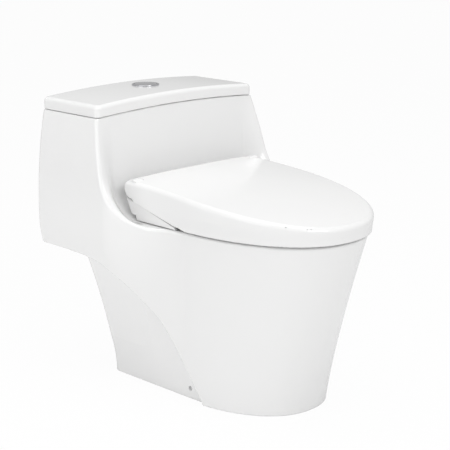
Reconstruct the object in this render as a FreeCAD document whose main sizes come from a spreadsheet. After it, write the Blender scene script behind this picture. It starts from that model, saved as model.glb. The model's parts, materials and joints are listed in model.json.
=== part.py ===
import FreeCAD, Part
import math
import os
import re
import Sketcher
from FreeCAD import Placement, Rotation, Vector

# A one-piece close-coupled toilet with a bidet seat. Millimetres, +Z up, front towards -Y.
# The origin lies on the floor, at the centre of the waste outlet.

# ---------------------------------------------------------------- driving dimensions
SIZES = [
    # the china body, seen from above
    ("bowl_half_width", 186.0), ("bowl_tip", 397.5), ("widest_station", 104.0),
    ("base_half_width", 150.0), ("base_tip", 300.0), ("nose_radius", 160.0),
    ("tank_half_width", 235.0), ("belly_half_width", 258.0), ("belly_height", 370.0),
    ("tank_back", 293.0), ("shoulder_end", 70.0), ("corner_radius", 12.0),
    # the china body, seen from the side
    ("deck_height", 387.0), ("seam_height", 603.0), ("seam_rise", 9.0),
    ("tank_front", 106.0), ("wing_cove_radius", 135.0), ("wing_cove_start", 54.0),
    ("seat_cove_radius", 70.0), ("seat_cove_start", 25.0), ("seat_recess_half", 212.0),
    ("overhang_height", 303.0), ("overhang_start", 160.0), ("crest_foot", 121.0),
    ("crest_knee_y", 22.0), ("crest_knee_z", 238.0), ("crest_bow", 7.0),
    # the recessed rear pedestal
    ("pedestal_step", 13.0), ("pedestal_flare", 84.0), ("pedestal_back", 184.6),
    ("pedestal_corner", 20.0), ("china_wall", 12.0), ("service_half_width", 90.0),
    ("service_height", 215.0),
    # bowl, trapway, flush channel and tank inside
    ("bowl_mouth_half", 120.0), ("bowl_mouth_front", 343.0), ("bowl_mouth_back", 40.0),
    ("sump_half", 44.0), ("sump_floor", 88.0), ("bowl_wall", 11.0), ("bowl_bend", 290.0),
    ("trap_radius", 26.0), ("trap_wall", 9.0),
    ("trap_weir_z", 222.0), ("trap_weir_y", 62.0), ("trap_back", 112.0),
    ("outlet_radius", 40.0), ("outlet_wall", 11.0), ("outlet_length", 40.0),
    ("outlet_lift", 14.0), ("outlet_play", 3.0), ("channel_radius", 22.0), ("channel_height", 305.0),
    ("tank_floor", 332.0), ("tank_wall", 14.0),
    ("tank_floor_front", 100.0), ("flush_hole_radius", 30.0), ("flush_y", 158.0),
    ("supply_x", 165.0), ("supply_y", 232.0), ("supply_hole_radius", 12.5),
    # floor fixings
    ("side_screw_y", 72.0), ("side_screw_z", 23.0), ("side_screw_radius", 3.0),
    ("side_hole_radius", 5.0), ("bracket_thickness", 3.0), ("bracket_width", 34.0),
    ("bracket_height", 40.0), ("bracket_foot", 42.0), ("fit_gap", 0.3),
    ("outlet_gasket_width", 11.0),
    # seat fixing plate and its bolts
    ("plate_thickness", 3.0), ("plate_half_width", 87.0), ("plate_front", 30.0),
    ("plate_back", 16.0), ("deck_bolt_x", 72.0), ("deck_bolt_y", 8.0),
    ("deck_bolt_radius", 3.0), ("deck_hole_radius", 8.0), ("service_hole_x", 100.0),
    ("service_hole_radius", 12.0), ("bolt_head", 6.0), ("deck_nut_radius", 10.5),
    ("bolt_length", 48.0), ("tray_thickness", 2.5), ("tray_half_width", 114.5),
    # seat unit
    ("hinge_y", 48.0), ("hinge_z", 456.0), ("lid_round", 22.0), ("unit_half_width", 188.0),
    ("unit_gap", 2.0), ("unit_front", 62.0), ("unit_tip", 83.0), ("unit_cheek", 164.0),
    ("unit_wall", 3.0), ("hump_half_width", 142.0), ("hump_front_z", 450.0),
    ("hump_back_z", 461.0), ("knuckle_inner", 118.0), ("knuckle_radius", 15.0),
    ("pin_radius", 5.0), ("pin_play", 0.05), ("parting_front_z", 393.0),
    ("parting_back_z", 434.0), ("parting_front", 85.0), ("parting_back", 67.5),
    # seat ring
    ("ring_half_width", 178.0), ("ring_tip", 397.0), ("ring_back", 66.0),
    ("ring_station", 150.0), ("ring_nose", 150.0), ("ring_bottom", 394.0), ("ring_thickness", 21.0),
    ("ring_wall", 3.5), ("ring_corner", 26.0), ("seat_hole_half", 106.0), ("seat_hole_front", 332.0),
    ("seat_hole_back", 112.0), ("arm_inner", 146.0), ("arm_width", 13.0),
    ("arm_radius", 12.0), ("bumper_radius", 9.0),
    # seat lid
    ("lid_half_width", 189.0), ("lid_tip", 405.0), ("lid_station", 106.0),
    ("lid_nose", 165.0), ("lid_lower", 390.0), ("lid_wall", 3.5), ("lid_crown", 2500.0),
    ("lid_peak_y", 114.0), ("lid_edge_radius", 12.0), ("lug_inner", 164.0),
    # tank lid and buttons
    ("lid_overhang", -2.0), ("lid_seam_gap", 1.0), ("tank_lid_height", 27.0),
    ("tank_lid_crown", 10.0), ("tank_lid_wall", 13.0), ("tank_lid_edge", 9.0),
    ("button_y", 214.0), ("button_radius", 26.0), ("bezel_radius", 31.0),
    ("bezel_height", 3.0), ("shank_radius", 19.0), ("shank_length", 34.0),
    ("button_gap", 0.5), ("button_split", 9.0), ("button_height", 3.0),
    ("button_travel", 5.0),
    # flushing parts inside the tank
    ("tower_radius", 40.0), ("tower_wall", 2.5), ("tower_height", 96.0),
    ("tower_neck_radius", 24.0), ("tower_top", 552.0), ("seal_radius", 33.0),
    ("overflow_radius", 13.0), ("overflow_top", 520.0), ("plunger_lift", 24.0),
    ("thread_radius", 10.2), ("thread_relief", 0.5), ("tail_length", 26.0),
    ("tail_thread", 17.0), ("column_radius", 13.0),
    ("column_top", 536.0), ("float_radius", 26.0), ("float_height", 66.0),
    ("float_top", 505.0), ("float_travel", 80.0), ("hose_radius", 4.0),
    # nozzles, heater, dryer and electronics inside the seat unit
    ("nozzle_radius", 5.5), ("nozzle_pitch", 26.0), ("nozzle_slope", 34.0),
    ("nozzle_length", 90.0), ("nozzle_travel", 58.0), ("guide_wall", 3.0),
    ("heater_length", 74.0), ("heater_width", 46.0), ("heater_height", 34.0),
    ("inlet_length", 60.0), ("inlet_thread", 40.0),
]

doc = FreeCAD.newDocument("ToiletWithBidetSeat")
sheet = doc.addObject("Spreadsheet::Sheet", "Sizes")
for row, (alias, value) in enumerate(SIZES, 1):
    sheet.set(f"A{row}", alias)
    sheet.set(f"B{row}", str(value))
    sheet.setAlias(f"B{row}", alias)
doc.recompute()

# Places that follow from the driving dimensions, as formulas on a second sheet.
PLACES = [
    ("tray_z", "deck_height + plate_thickness"),
    ("unit_z", "deck_height + unit_gap"),
    ("parting_slope", "(parting_back_z - parting_front_z) / (parting_back + parting_front)"),
    ("lid_back", "hinge_y + lid_round"),
    ("lid_peak_z", "hinge_z + lid_round + (lid_peak_y - hinge_y) ^ 2 / (2 * lid_crown)"),
    ("ring_top", "ring_bottom + ring_thickness"),
    ("tank_lid_bottom", "seam_height + lid_seam_gap"),
    ("tank_lid_half", "tank_half_width + lid_overhang"),
    ("button_z", "seam_height + tank_lid_height + tank_lid_crown"),
    ("pin_end", "lug_inner + 19"),
]
places = doc.addObject("Spreadsheet::Sheet", "Places")
NAMES = {alias: "Sizes" for alias, _ in SIZES}


def formula(text):
    """The text with each bare size name led by the sheet that holds it."""
    return re.sub(r"[a-z][a-z_]+", lambda m: f"{NAMES[m[0]]}.{m[0]}" if m[0] in NAMES else m[0],
                  str(text))


for row, (alias, text) in enumerate(PLACES, 1):
    places.set(f"A{row}", alias)
    places.set(f"B{row}", "=" + formula(text))
    places.setAlias(f"B{row}", alias)
    NAMES[alias] = "Places"
doc.recompute()


def size(text):
    """The value, in millimetres or as a plain number, of a formula in the size names."""
    value = sheet.evalExpression(formula(text).replace("Sizes.", ""))
    return float(getattr(value, "Value", value))


# ---------------------------------------------------------------- makers for parametric pieces
def bind(thing, prop, text):
    thing.setExpression(prop, formula(text))


def place(thing, at=("0", "0", "0"), axis=None, angle=0.0):
    """Puts a piece at a point given by formulas, turned by an angle about an axis."""
    turn = Rotation(Vector(*axis), angle) if axis else Rotation()
    thing.Placement = Placement(Vector(*[size(a) for a in at]), turn)
    for key, text in zip("xyz", at):
        bind(thing, f".Placement.Base.{key}", text)


def new_body(label, at=("0", "0", "0"), axis=None, angle=0.0):
    body = doc.addObject("PartDesign::Body", label)
    body.Label = label
    body.AllowCompound = True
    place(body, at, axis, angle)
    return body


def origin_of(body, role):
    return next(f for f in body.Origin.OriginFeatures if f.Role == role)


def new_sketch(body, plane, offset=None):
    sketch = body.newObject("Sketcher::SketchObject", body.Name + "_outline")
    sketch.AttachmentSupport = [(origin_of(body, plane), "")]
    sketch.MapMode = "FlatFace"
    if offset is not None:
        bind(sketch, ".AttachmentOffset.Base.z", offset)
    return sketch


def pin_point(sketch, geo, end, x, y):
    """Dimensions one sketch point from the sketch's origin, by formulas."""
    for kind, text, axis in (("DistanceX", x, -2), ("DistanceY", y, -1)):
        value = size(text)
        if str(text) == "0":
            sketch.addConstraint(Sketcher.Constraint("PointOnObject", geo, end, axis))
            continue
        index = sketch.addConstraint(Sketcher.Constraint(kind, -1, 1, geo, end, value))
        bind(sketch, f"Constraints[{index}]", text)


def add_polygon(sketch, points):
    """A closed outline of straight lines with every corner dimensioned."""
    spots = [Vector(size(x), size(y), 0) for x, y in points]
    first = sketch.GeometryCount
    count = len(points)
    lines = [Part.LineSegment(spots[i], spots[(i + 1) % count]) for i in range(count)]
    sketch.addGeometry(lines, False)
    joints = [Sketcher.Constraint("Coincident", first + i, 2, first + (i + 1) % count, 1)
              for i in range(count)]
    sketch.addConstraint(joints)
    for i, (x, y) in enumerate(points):
        pin_point(sketch, first + i, 1, x, y)


def add_circle(sketch, radius, x="0", y="0"):
    circle = Part.Circle(Vector(size(x), size(y), 0), Vector(0, 0, 1), size(radius))
    geo = sketch.addGeometry(circle, False)
    index = sketch.addConstraint(Sketcher.Constraint("Radius", geo, size(radius)))
    bind(sketch, f"Constraints[{index}]", radius)
    pin_point(sketch, geo, 3, x, y)


def box_points(x0, x1, y0, y1):
    return [(x0, y0), (x1, y0), (x1, y1), (x0, y1)]


def pad(body, sketch, length, midplane=False, reverse=False):
    feature = body.newObject("PartDesign::Pad", body.Name + "_pad")
    feature.Profile = sketch
    bind(feature, "Length", length)
    feature.Midplane = midplane
    feature.Reversed = reverse
    return feature


def pocket(body, sketch, length=None, midplane=False, reverse=False):
    feature = body.newObject("PartDesign::Pocket", body.Name + "_pocket")
    feature.Profile = sketch
    if length is None:
        feature.Type = "ThroughAll"
    else:
        bind(feature, "Length", length)
    feature.Midplane = midplane
    feature.Reversed = reverse
    return feature


def turned(label, profile, at=("0", "0", "0"), axis=None, angle=0.0):
    """A piece turned about its own Z axis, from a closed (radius, height) outline."""
    body = new_body(label, at, axis, angle)
    sketch = new_sketch(body, "XZ_Plane")
    add_polygon(sketch, profile)
    feature = body.newObject("PartDesign::Revolution", label + "_turn")
    feature.Profile = sketch
    feature.ReferenceAxis = (sketch, ["V_Axis"])
    feature.Angle = 360
    return body


def many_sided(radius, sides, x="0", y="0"):
    """The corners of a regular outline whose flats lie at a radius from its centre."""
    corner = f"({radius}) / cos({180 / sides})"
    turns = [360 * (i + 0.5) / sides for i in range(sides)]
    return [(f"{x} + {corner} * cos({turn})", f"{y} + {corner} * sin({turn})") for turn in turns]


def padded(label, points, length, plane="XY_Plane", at=("0", "0", "0"), axis=None, angle=0.0,
           midplane=False, holes=(), openings=()):
    """A piece padded from a straight-sided outline with round holes and straight-sided ones."""
    body = new_body(label, at, axis, angle)
    sketch = new_sketch(body, plane)
    add_polygon(sketch, points)
    for radius, x, y in holes:
        add_circle(sketch, radius, x, y)
    for corners in openings:
        add_polygon(sketch, corners)
    pad(body, sketch, length, midplane)
    return body


def add_levels(body, levels, sides=12, bores=()):
    """Many-sided pads, and pockets into them, from (flat radius, bottom, top) levels."""
    for radius, low, high in levels:
        sketch = new_sketch(body, "XY_Plane", low)
        add_polygon(sketch, many_sided(radius, sides))
        pad(body, sketch, f"({high}) - ({low})")
    for radius, low, high in bores:
        sketch = new_sketch(body, "XY_Plane", high)
        add_polygon(sketch, many_sided(radius, sides))
        pocket(body, sketch, f"({high}) - ({low})")
    return body


def stacked(label, levels, at=("0", "0", "0"), axis=None, angle=0.0, sides=12, bores=()):
    """A piece of many-sided levels, one above the other."""
    return add_levels(new_body(label, at, axis, angle), levels, sides, bores)


def mirror(body, originals, plane="YZ_Plane"):
    """Repeats features on the other side of a plane of the body's own origin."""
    feature = body.newObject("PartDesign::Mirrored", body.Name + "_pair")
    feature.Originals = originals
    feature.MirrorPlane = (origin_of(body, plane), [""])
    body.Tip = feature
    return feature


def soften(body, radius, pick):
    """Rounds the edges of the body's last feature that pick() names."""
    doc.recompute()
    base = body.Tip
    edges = [f"Edge{i}" for i, e in enumerate(base.Shape.Edges, 1) if pick(e)]
    if not edges:
        raise RuntimeError(f"no edge to round on {body.Label}")
    feature = body.newObject("PartDesign::Fillet", body.Name + "_round")
    feature.Base = (base, edges)
    bind(feature, "Radius", radius)
    return feature


def along(edge, direction):
    """True for a straight edge that runs in a direction."""
    if edge.Curve.TypeId != "Part::GeomLine":
        return False
    run = edge.Vertexes[-1].Point - edge.Vertexes[0].Point
    return run.Length > 0 and abs(abs(run.normalize().dot(Vector(*direction))) - 1) < 1e-6


def formed(label, shape):
    """A freely curved piece, whose shape is worked out from the sheet."""
    feature = doc.addObject("Part::Feature", label)
    feature.Label = label
    feature.Shape = shape
    feature.Placement = Placement()
    return feature


# ---------------------------------------------------------------- curve helpers
def bezier(*poles):
    curve = Part.BezierCurve()
    curve.setPoles([Vector(*p) for p in poles])
    return curve.toShape()


def line(start, end):
    return Part.makeLine(Vector(*start), Vector(*end))


def arc(start, middle, end):
    return Part.Arc(Vector(*start), Vector(*middle), Vector(*end)).toShape()


CIRCLE_HANDLE = 0.5523  # Bezier handle that draws a quarter of a circle or ellipse


def egg(z, half, front, back, station, fullness=CIRCLE_HANDLE, back_fullness=CIRCLE_HANDLE):
    """The Bezier spans of a closed egg outline at height z, from -front to back."""
    reach, rear = (front - station) * fullness, (back + station) * back_fullness
    lean, tail = fullness * half, back_fullness * half
    right = [[(0, -front, z), (lean, -front, z), (half, -station - reach, z), (half, -station, z)],
             [(half, -station, z), (half, rear - station, z), (tail, back, z), (0, back, z)]]
    return right + mirrored(right)


def mirrored(spans):
    """The spans again on the -X side, run backwards."""
    return [[(-x, y, z) for x, y, z in reversed(span)] for span in reversed(spans)]


def straight(start, end):
    """A straight span with the same four poles as a curved one."""
    near, far = Vector(*start), Vector(*end)
    return [tuple(near + (far - near) * (i / 3)) for i in range(4)]


def blend_matrix(times):
    """Turns points passed at given times into the poles of one Bezier curve."""
    order = len(times)
    rows = [[math.comb(order - 1, k) * t ** k * (1 - t) ** (order - 1 - k)
             for k in range(order)] for t in times]
    rows = [row + [1.0 if i == j else 0.0 for j in range(order)] for i, row in enumerate(rows)]
    for i in range(order):
        best = max(range(i, order), key=lambda r: abs(rows[r][i]))
        rows[i], rows[best] = rows[best], rows[i]
        rows[i] = [value / rows[i][i] for value in rows[i]]
        for r in range(order):
            if r != i:
                rows[r] = [u - rows[r][i] * v for u, v in zip(rows[r], rows[i])]
    return [row[order:] for row in rows]


def patch(poles):
    """One smooth face from rows of poles."""
    across, down = len(poles), len(poles[0])
    wall = Part.BSplineSurface()
    wall.buildFromPolesMultsKnots(poles, (across, across), (down, down), (0, 1), (0, 1),
                                  False, False, across - 1, down - 1)
    return wall.toShape()


def skin(rows):
    """A closed solid whose walls run smoothly through level outlines of matching spans."""
    rise = [row[0][0][2] for row in rows]
    blend = blend_matrix([(z - rise[0]) / (rise[-1] - rise[0]) for z in rise])
    faces = []
    for spans in zip(*rows):
        grid = [[Vector(*pole) for pole in span] for span in spans]
        faces.append(patch([[sum((grid[k][j] * share for k, share in enumerate(shares)), Vector())
                             for shares in blend] for j in range(len(grid[0]))]))
    for spans in (rows[0], rows[-1]):
        faces.append(Part.Face(Part.Wire([bezier(*span) for span in spans])))
    shell = Part.makeShell(faces)
    shell.sewShape()
    solid = Part.Solid(shell)
    if solid.Volume < 0:
        solid.reverse()
    return solid


def flat_face(corners):
    return Part.Face(Part.makePolygon(list(corners) + [corners[0]]))


def faceted(rings):
    """A solid of flat faces through rings that have the same number of corners."""
    faces = [flat_face(rings[0]), flat_face(rings[-1])]
    for low, high in zip(rings, rings[1:]):
        for i in range(len(low)):
            j = (i + 1) % len(low)
            a, b, c, d = low[i], low[j], high[j], high[i]
            normal = (b - a).cross(c - a).normalize()
            if abs(normal.dot(d - a)) < 1e-7:
                faces.append(flat_face([a, b, c, d]))
            else:
                faces += [flat_face([a, b, c]), flat_face([a, c, d])]
    shell = Part.makeShell(faces)
    shell.sewShape()
    solid = Part.Solid(shell)
    if solid.Volume < 0:
        solid.reverse()
    return solid


def block(rows):
    """A faceted solid through level outlines, each given by its +X half."""
    halves = [[Vector(*p) for p in half] for half in rows]
    return faceted([half + [Vector(-p.x, p.y, p.z) for p in reversed(half)] for half in halves])


def racetrack(levels):
    """A solid of round-ended slots, one cone at each end, from (z, radius, front, back) levels."""
    solid = None
    for (z0, r0, front0, back0), (z1, r1, front1, back1) in zip(levels, levels[1:]):
        part = []
        for low_y, high_y in ((front0 + r0, front1 + r1), (back0 - r0, back1 - r1)):
            if abs(low_y - high_y) > 1e-6:
                raise ValueError("the ends of a round-ended slot must keep their centres")
            if abs(r0 - r1) < 1e-6:
                part.append(Part.makeCylinder(r0, z1 - z0, Vector(0, low_y, z0)))
            else:
                part.append(Part.makeCone(r0, r1, z1 - z0, Vector(0, low_y, z0)))
        start, end = front0 + r0, back0 - r0
        part.append(block([[(r0, start, z0), (r0, end, z0)], [(r1, start, z1), (r1, end, z1)]]))
        for piece in part:
            solid = solid.fuse(piece) if solid else piece
    return solid.removeSplitter()


def tube_path(points, bends):
    """Stations (place, direction) along straight runs joined by tangent arcs."""
    spots = [Vector(*p) for p in points]
    stations = [(spots[0], (spots[1] - spots[0]).normalize())]
    for before, corner, after, bend in zip(spots, spots[1:], spots[2:], bends):
        into = (corner - before).normalize()
        out = (after - corner).normalize()
        turn = into.getAngle(out)
        centre = corner + (out - into).normalize() * (bend / math.cos(turn / 2))
        start = corner - into * (bend * math.tan(turn / 2))
        axle = into.cross(out).normalize()
        steps = max(1, round(turn / 0.7))
        for i in range(steps + 1):
            swing = Rotation(axle, math.degrees(turn) * i / steps)
            stations.append((centre + swing.multVec(start - centre), swing.multVec(into)))
    stations.append((spots[-1], (spots[-1] - spots[-2]).normalize()))
    return stations


def piped(points, bends, radius, sides=8):
    """A bar along a path that lies in the YZ plane, as many-sided rings joined by flat walls."""
    rings = []
    for spot, way in tube_path(points, bends):
        up = way.cross(Vector(1, 0, 0))
        ring = [spot + Vector(radius * math.cos(t), 0, 0) + up * (radius * math.sin(t))
                for t in [2 * math.pi * (i + 0.5) / sides for i in range(sides)]]
        rings.append(ring)
    return faceted(rings)


# ---------------------------------------------------------------- china body
def smooth_step(share):
    share = min(max(share, 0.0), 1.0)
    return share * share * (3 - 2 * share)


def apex():
    """The point below the floor in which all the straight lines of the front shell meet."""
    share = size("base_half_width / bowl_half_width")
    return Vector(0, size("base_tip") / (share - 1) - size("bowl_tip") * share / (share - 1),
                  -size("deck_height") * share / (1 - share))


def spread(z):
    """How wide the front shell is at height z, as a share of its width at the deck."""
    return (z - apex().z) / (size("deck_height") - apex().z)


def bowl_half(z):
    return size("bowl_half_width") * spread(z)


def station(z):
    """Where the front shell is at its widest, at height z."""
    return apex().y - (size("widest_station") + apex().y) * spread(z)


def tank_half(z):
    belly, base = size("belly_half_width"), size("base_half_width")
    low, top = size("belly_height"), size("seam_height")
    if z <= low:
        return base + (belly - base) * smooth_step(z / low)
    return belly - (belly - size("tank_half_width")) * ((z - low) / (top - low)) ** 2.2


def pedestal_half(z, inset=0.0):
    """Half width of the recessed rear pedestal, flaring upwards under the tank."""
    foot = size("base_half_width - pedestal_step")
    return foot + size("pedestal_flare") * (z / size("overhang_height")) ** 1.36 - inset


def rear_hull(top):
    """The outer form behind the widest station: it swells from the bowl into the tank."""
    end, back, corner = size("shoulder_end"), size("tank_back"), size("corner_radius")
    rows = []
    for share in (0, 0.2, 0.42, 0.63, 0.82, 1):
        z = top * share
        half, start, rear = bowl_half(z), station(z), tank_half(z)
        third = (end - start) / 3
        right = [[(0, start, z), (half, start, z)],
                 [(half, start, z), (half, start + third, z), (rear, end - third, z),
                  (rear, end, z)],
                 [(rear, end, z), (rear, back - corner, z)],
                 [(rear, back - corner, z), (rear - corner, back, z)]]
        across = [(rear - corner, back, z), (corner - rear, back, z)]
        rows.append(right + [across] + mirrored(right))
    return skin(rows)


def front_hull():
    """The outer form of the bowl: two side cones rounded off by a nose cone, one apex."""
    tip, deck = apex(), size("deck_height")
    side = Vector(size("bowl_half_width"), -size("widest_station"), deck) - tip
    out = Vector(0, 1, 0).cross(side).normalize()
    side = side.normalize()
    front = Vector(0, -size("bowl_tip"), deck) - tip
    round_axis = Vector(0, size("nose_radius - bowl_tip"), deck) - tip
    lean = front.getAngle(round_axis)
    round_axis = round_axis.normalize()
    low, high = lean, 1.2
    for _ in range(60):
        wide = (low + high) / 2
        side_axis = side * math.cos(wide) - out * math.sin(wide)
        if side_axis.getAngle(round_axis) > wide - lean:
            low = wide
        else:
            high = wide
    side_axis = side * math.cos(wide) - out * math.sin(wide)
    away = (round_axis - side_axis * side_axis.dot(round_axis)).normalize()
    touch = side_axis * math.cos(wide) + away * math.sin(wide)
    reach = 3 * (deck - tip.z)

    def cone(axis, angle):
        return Part.makeCone(0, reach * math.tan(angle), reach, tip, axis)

    def slab(line_a, line_b, behind):
        """All that lies on one side of the plane through the apex and two lines."""
        normal = line_a.cross(line_b).normalize()
        if normal.dot(behind) < 0:
            normal = normal * -1
        plane = Part.makePlane(2 * reach, 2 * reach, tip, normal)
        plane.translate(tip - plane.CenterOfGravity)
        return plane.extrude(normal * reach)

    right = Part.makeBox(reach, 2 * reach, deck, Vector(0, -reach, 0))
    level = Part.makeBox(2 * reach, 2 * reach, deck, Vector(-reach, -reach, 0))
    ahead = slab(side, Vector(-side.x, side.y, side.z), Vector(0, -1, 0))
    behind = slab(touch, Vector(-touch.x, touch.y, touch.z), Vector(0, 1, 0))
    flank = cone(side_axis, wide).common(right).common(behind).common(ahead)
    flanks = flank.fuse(flank.mirror(Vector(), Vector(1, 0, 0)))
    return flanks.fuse(cone(round_axis, lean).common(level).common(ahead)).removeSplitter()


def hull_half(y, z):
    """Half width of the outer form, from its widest station to the tank's side."""
    start, end = station(z), size("shoulder_end")
    return bowl_half(z) + (tank_half(z) - bowl_half(z)) * smooth_step((y - start) / (end - start))


def nose(z, gap, count):
    """Points on the round front at height z, a gap inside the outer form, tip first."""
    tip = apex().y - (size("bowl_tip") + apex().y) * spread(z)
    half, start = bowl_half(z), station(z)
    points = []
    for i in range(count):
        turn = math.pi / 2 * (i + 0.5) / count
        points.append(((half - gap) * math.sin(turn),
                       start - (start - tip - gap) * math.cos(turn), z))
    return points


def pedestal_block(top, inset=0.0):
    """The recessed rear pedestal below a level; with an inset, the hollow under the china."""
    step, back = size("pedestal_step") + inset, size("pedestal_back") - inset
    corner, foot = size("pedestal_corner"), -size("crest_foot")
    rows = []
    for z in (0, top / 2, top):
        rear = pedestal_half(z, inset)
        front = nose(z, size("china_wall"), 3) if inset else []
        rows.append(front + [(bowl_half(z) - step, foot, z),
                             (min(hull_half(0, z) - step, rear), 0, z), (rear, back - corner, z),
                             (rear - corner, back, z)])
    return block(rows)


def side_profile(points, half):
    """A bar across the whole width, from closed (y, z) edges."""
    wire = Part.Wire(points)
    return Part.Face(wire).extrude(Vector(2 * half, 0, 0))


def cove_cutter(radius, start, half):
    """What stands free in front of the tank and above the deck, with a hollow corner."""
    deck, tank_y, seam = size("deck_height"), size("tank_front"), size("seam_height")
    centre = Vector(-half, start, deck + radius)
    top = Vector(-half, tank_y, seam)
    reach = math.hypot(top.y - centre.y, top.z - centre.z)
    swing = math.atan2(top.z - centre.z, top.y - centre.y) - math.acos(radius / reach)
    middle = (swing - math.pi / 2) / 2

    def spot(angle):
        return Vector(-half, centre.y + radius * math.cos(angle),
                      centre.z + radius * math.sin(angle))

    foot, end = Vector(-half, start, deck), spot(swing)
    high = end + (top - end) * ((seam + 100 - end.z) / (top.z - end.z))
    far = Vector(-half, -2 * size("bowl_tip"), deck)
    roof = Vector(far.x, far.y, high.z)
    return side_profile([Part.makeLine(far, foot), Part.Arc(foot, spot(middle), end).toShape(),
                         Part.makeLine(end, high), Part.makeLine(high, roof),
                         Part.makeLine(roof, far)], half)


def seat_recess():
    """The pocket in the wings that the seat unit backs into, with rounded rear corners."""
    half = size("seat_recess_half")
    cutter = cove_cutter(size("seat_cove_radius"), size("seat_cove_start"), half)
    reach, round_off = size("tank_front"), 40.0
    bow = round_off * (1 - math.sqrt(0.5))
    front = -2 * size("bowl_tip")
    base = [line((-half, front, 0), (half, front, 0)),
            line((half, front, 0), (half, reach - round_off, 0)),
            arc((half, reach - round_off, 0), (half - bow, reach - bow, 0),
                (half - round_off, reach, 0)),
            line((half - round_off, reach, 0), (round_off - half, reach, 0)),
            arc((round_off - half, reach, 0), (bow - half, reach - bow, 0),
                (-half, reach - round_off, 0)),
            line((-half, reach - round_off, 0), (-half, front, 0))]
    prism = Part.Face(Part.Wire(base)).extrude(Vector(0, 0, size("seam_height")))
    return cutter.common(prism)


def crest_cutter():
    """What lies below the tank's overhang and behind the arched edge of the front shell."""
    wide = 2 * size("belly_half_width")
    foot, low = -size("crest_foot"), -1.0
    knee_y, knee_z = size("crest_knee_y"), size("crest_knee_z")
    start, high = size("overhang_start"), size("overhang_height")
    bow = size("crest_bow")
    far = 2 * size("tank_back")

    def spot(y, z):
        return (-wide, y, z)

    lower = spot((foot + knee_y) / 2 + bow, (low + knee_z) / 2 - bow)
    upper = spot(knee_y + 0.36 * (start - knee_y), knee_z + 0.71 * (high - knee_z))
    return side_profile([arc(spot(foot, low), lower, spot(knee_y, knee_z)),
                         arc(spot(knee_y, knee_z), upper, spot(start, high)),
                         line(spot(start, high), spot(far, high)),
                         line(spot(far, high), spot(far, low)),
                         line(spot(far, low), spot(foot, low))], wide)


def bowl_form():
    """The bowl, from its mouth in the deck down to the sump."""
    mouth, sump = size("bowl_mouth_half"), size("sump_half")
    front, back = -size("bowl_mouth_front"), -size("bowl_mouth_back")
    levels = []
    for z, radius in ((size("sump_floor"), sump), (size("bowl_bend"), mouth),
                      (size("deck_height"), mouth)):
        levels.append((z, radius, front + mouth - radius, back - mouth + radius))
    return racetrack(levels)


def bowl_casing(wall):
    """The china around the bowl, with flat sides towards the hollow under the rim."""
    mouth, sump = size("bowl_mouth_half"), size("sump_half")
    front, back = size("bowl_mouth_front") + wall, size("bowl_mouth_back") - wall
    rows = []
    for z, half in ((size("sump_floor") - wall, sump + wall), (size("bowl_bend"), mouth + wall),
                    (size("deck_height"), mouth + wall)):
        shift, cut = mouth + wall - half, 0.55 * half
        rows.append([(half - cut, -front + shift, z), (half, -front + shift + cut, z),
                     (half, -back - shift - cut, z), (half - cut, -back - shift, z)])
    return block(rows)


def trap_pipe(radius):
    """The S-shaped passage from the sump over the weir and down to the outlet."""
    weir_y, weir_z, back = size("trap_weir_y"), size("trap_weir_z"), size("trap_back")
    lift = size("outlet_lift + outlet_length")
    sump_y = -size("bowl_mouth_back + bowl_mouth_half")
    sump_z = size("sump_floor + trap_radius")
    points = [(0, sump_y, sump_z), (0, sump_y + 60, sump_z), (0, weir_y, weir_z),
              (0, back, weir_z - 58), (0, back - 20, lift + 42), (0, 0, lift + 34),
              (0, 0, lift - 8)]
    return piped(points, (60, 38, 36, 36, 36), radius)


def water_channel(radius):
    """The passage that takes the flush from under the tank to the back of the bowl."""
    level, flush_y = size("channel_height"), size("flush_y")
    points = [(0, flush_y, size("tank_floor")), (0, flush_y, level),
              (0, -size("bowl_mouth_back") - 30, level)]
    return piped(points, (size("tank_floor") - level - 1,), radius)


def upright(radius, x, y, low, high):
    return Part.makeCylinder(radius, high - low, Vector(x, y, low))


def hole(radius, x, y, low, high, sides=12):
    """A many-sided plug for a hidden upright hole, its flats at the radius."""
    corner = radius / math.cos(math.pi / sides)
    turns = [2 * math.pi * (i + 0.5) / sides for i in range(sides)]
    ring = [Vector(x + corner * math.cos(t), y + corner * math.sin(t), low) for t in turns]
    return flat_face(ring).extrude(Vector(0, 0, high - low))


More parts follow.
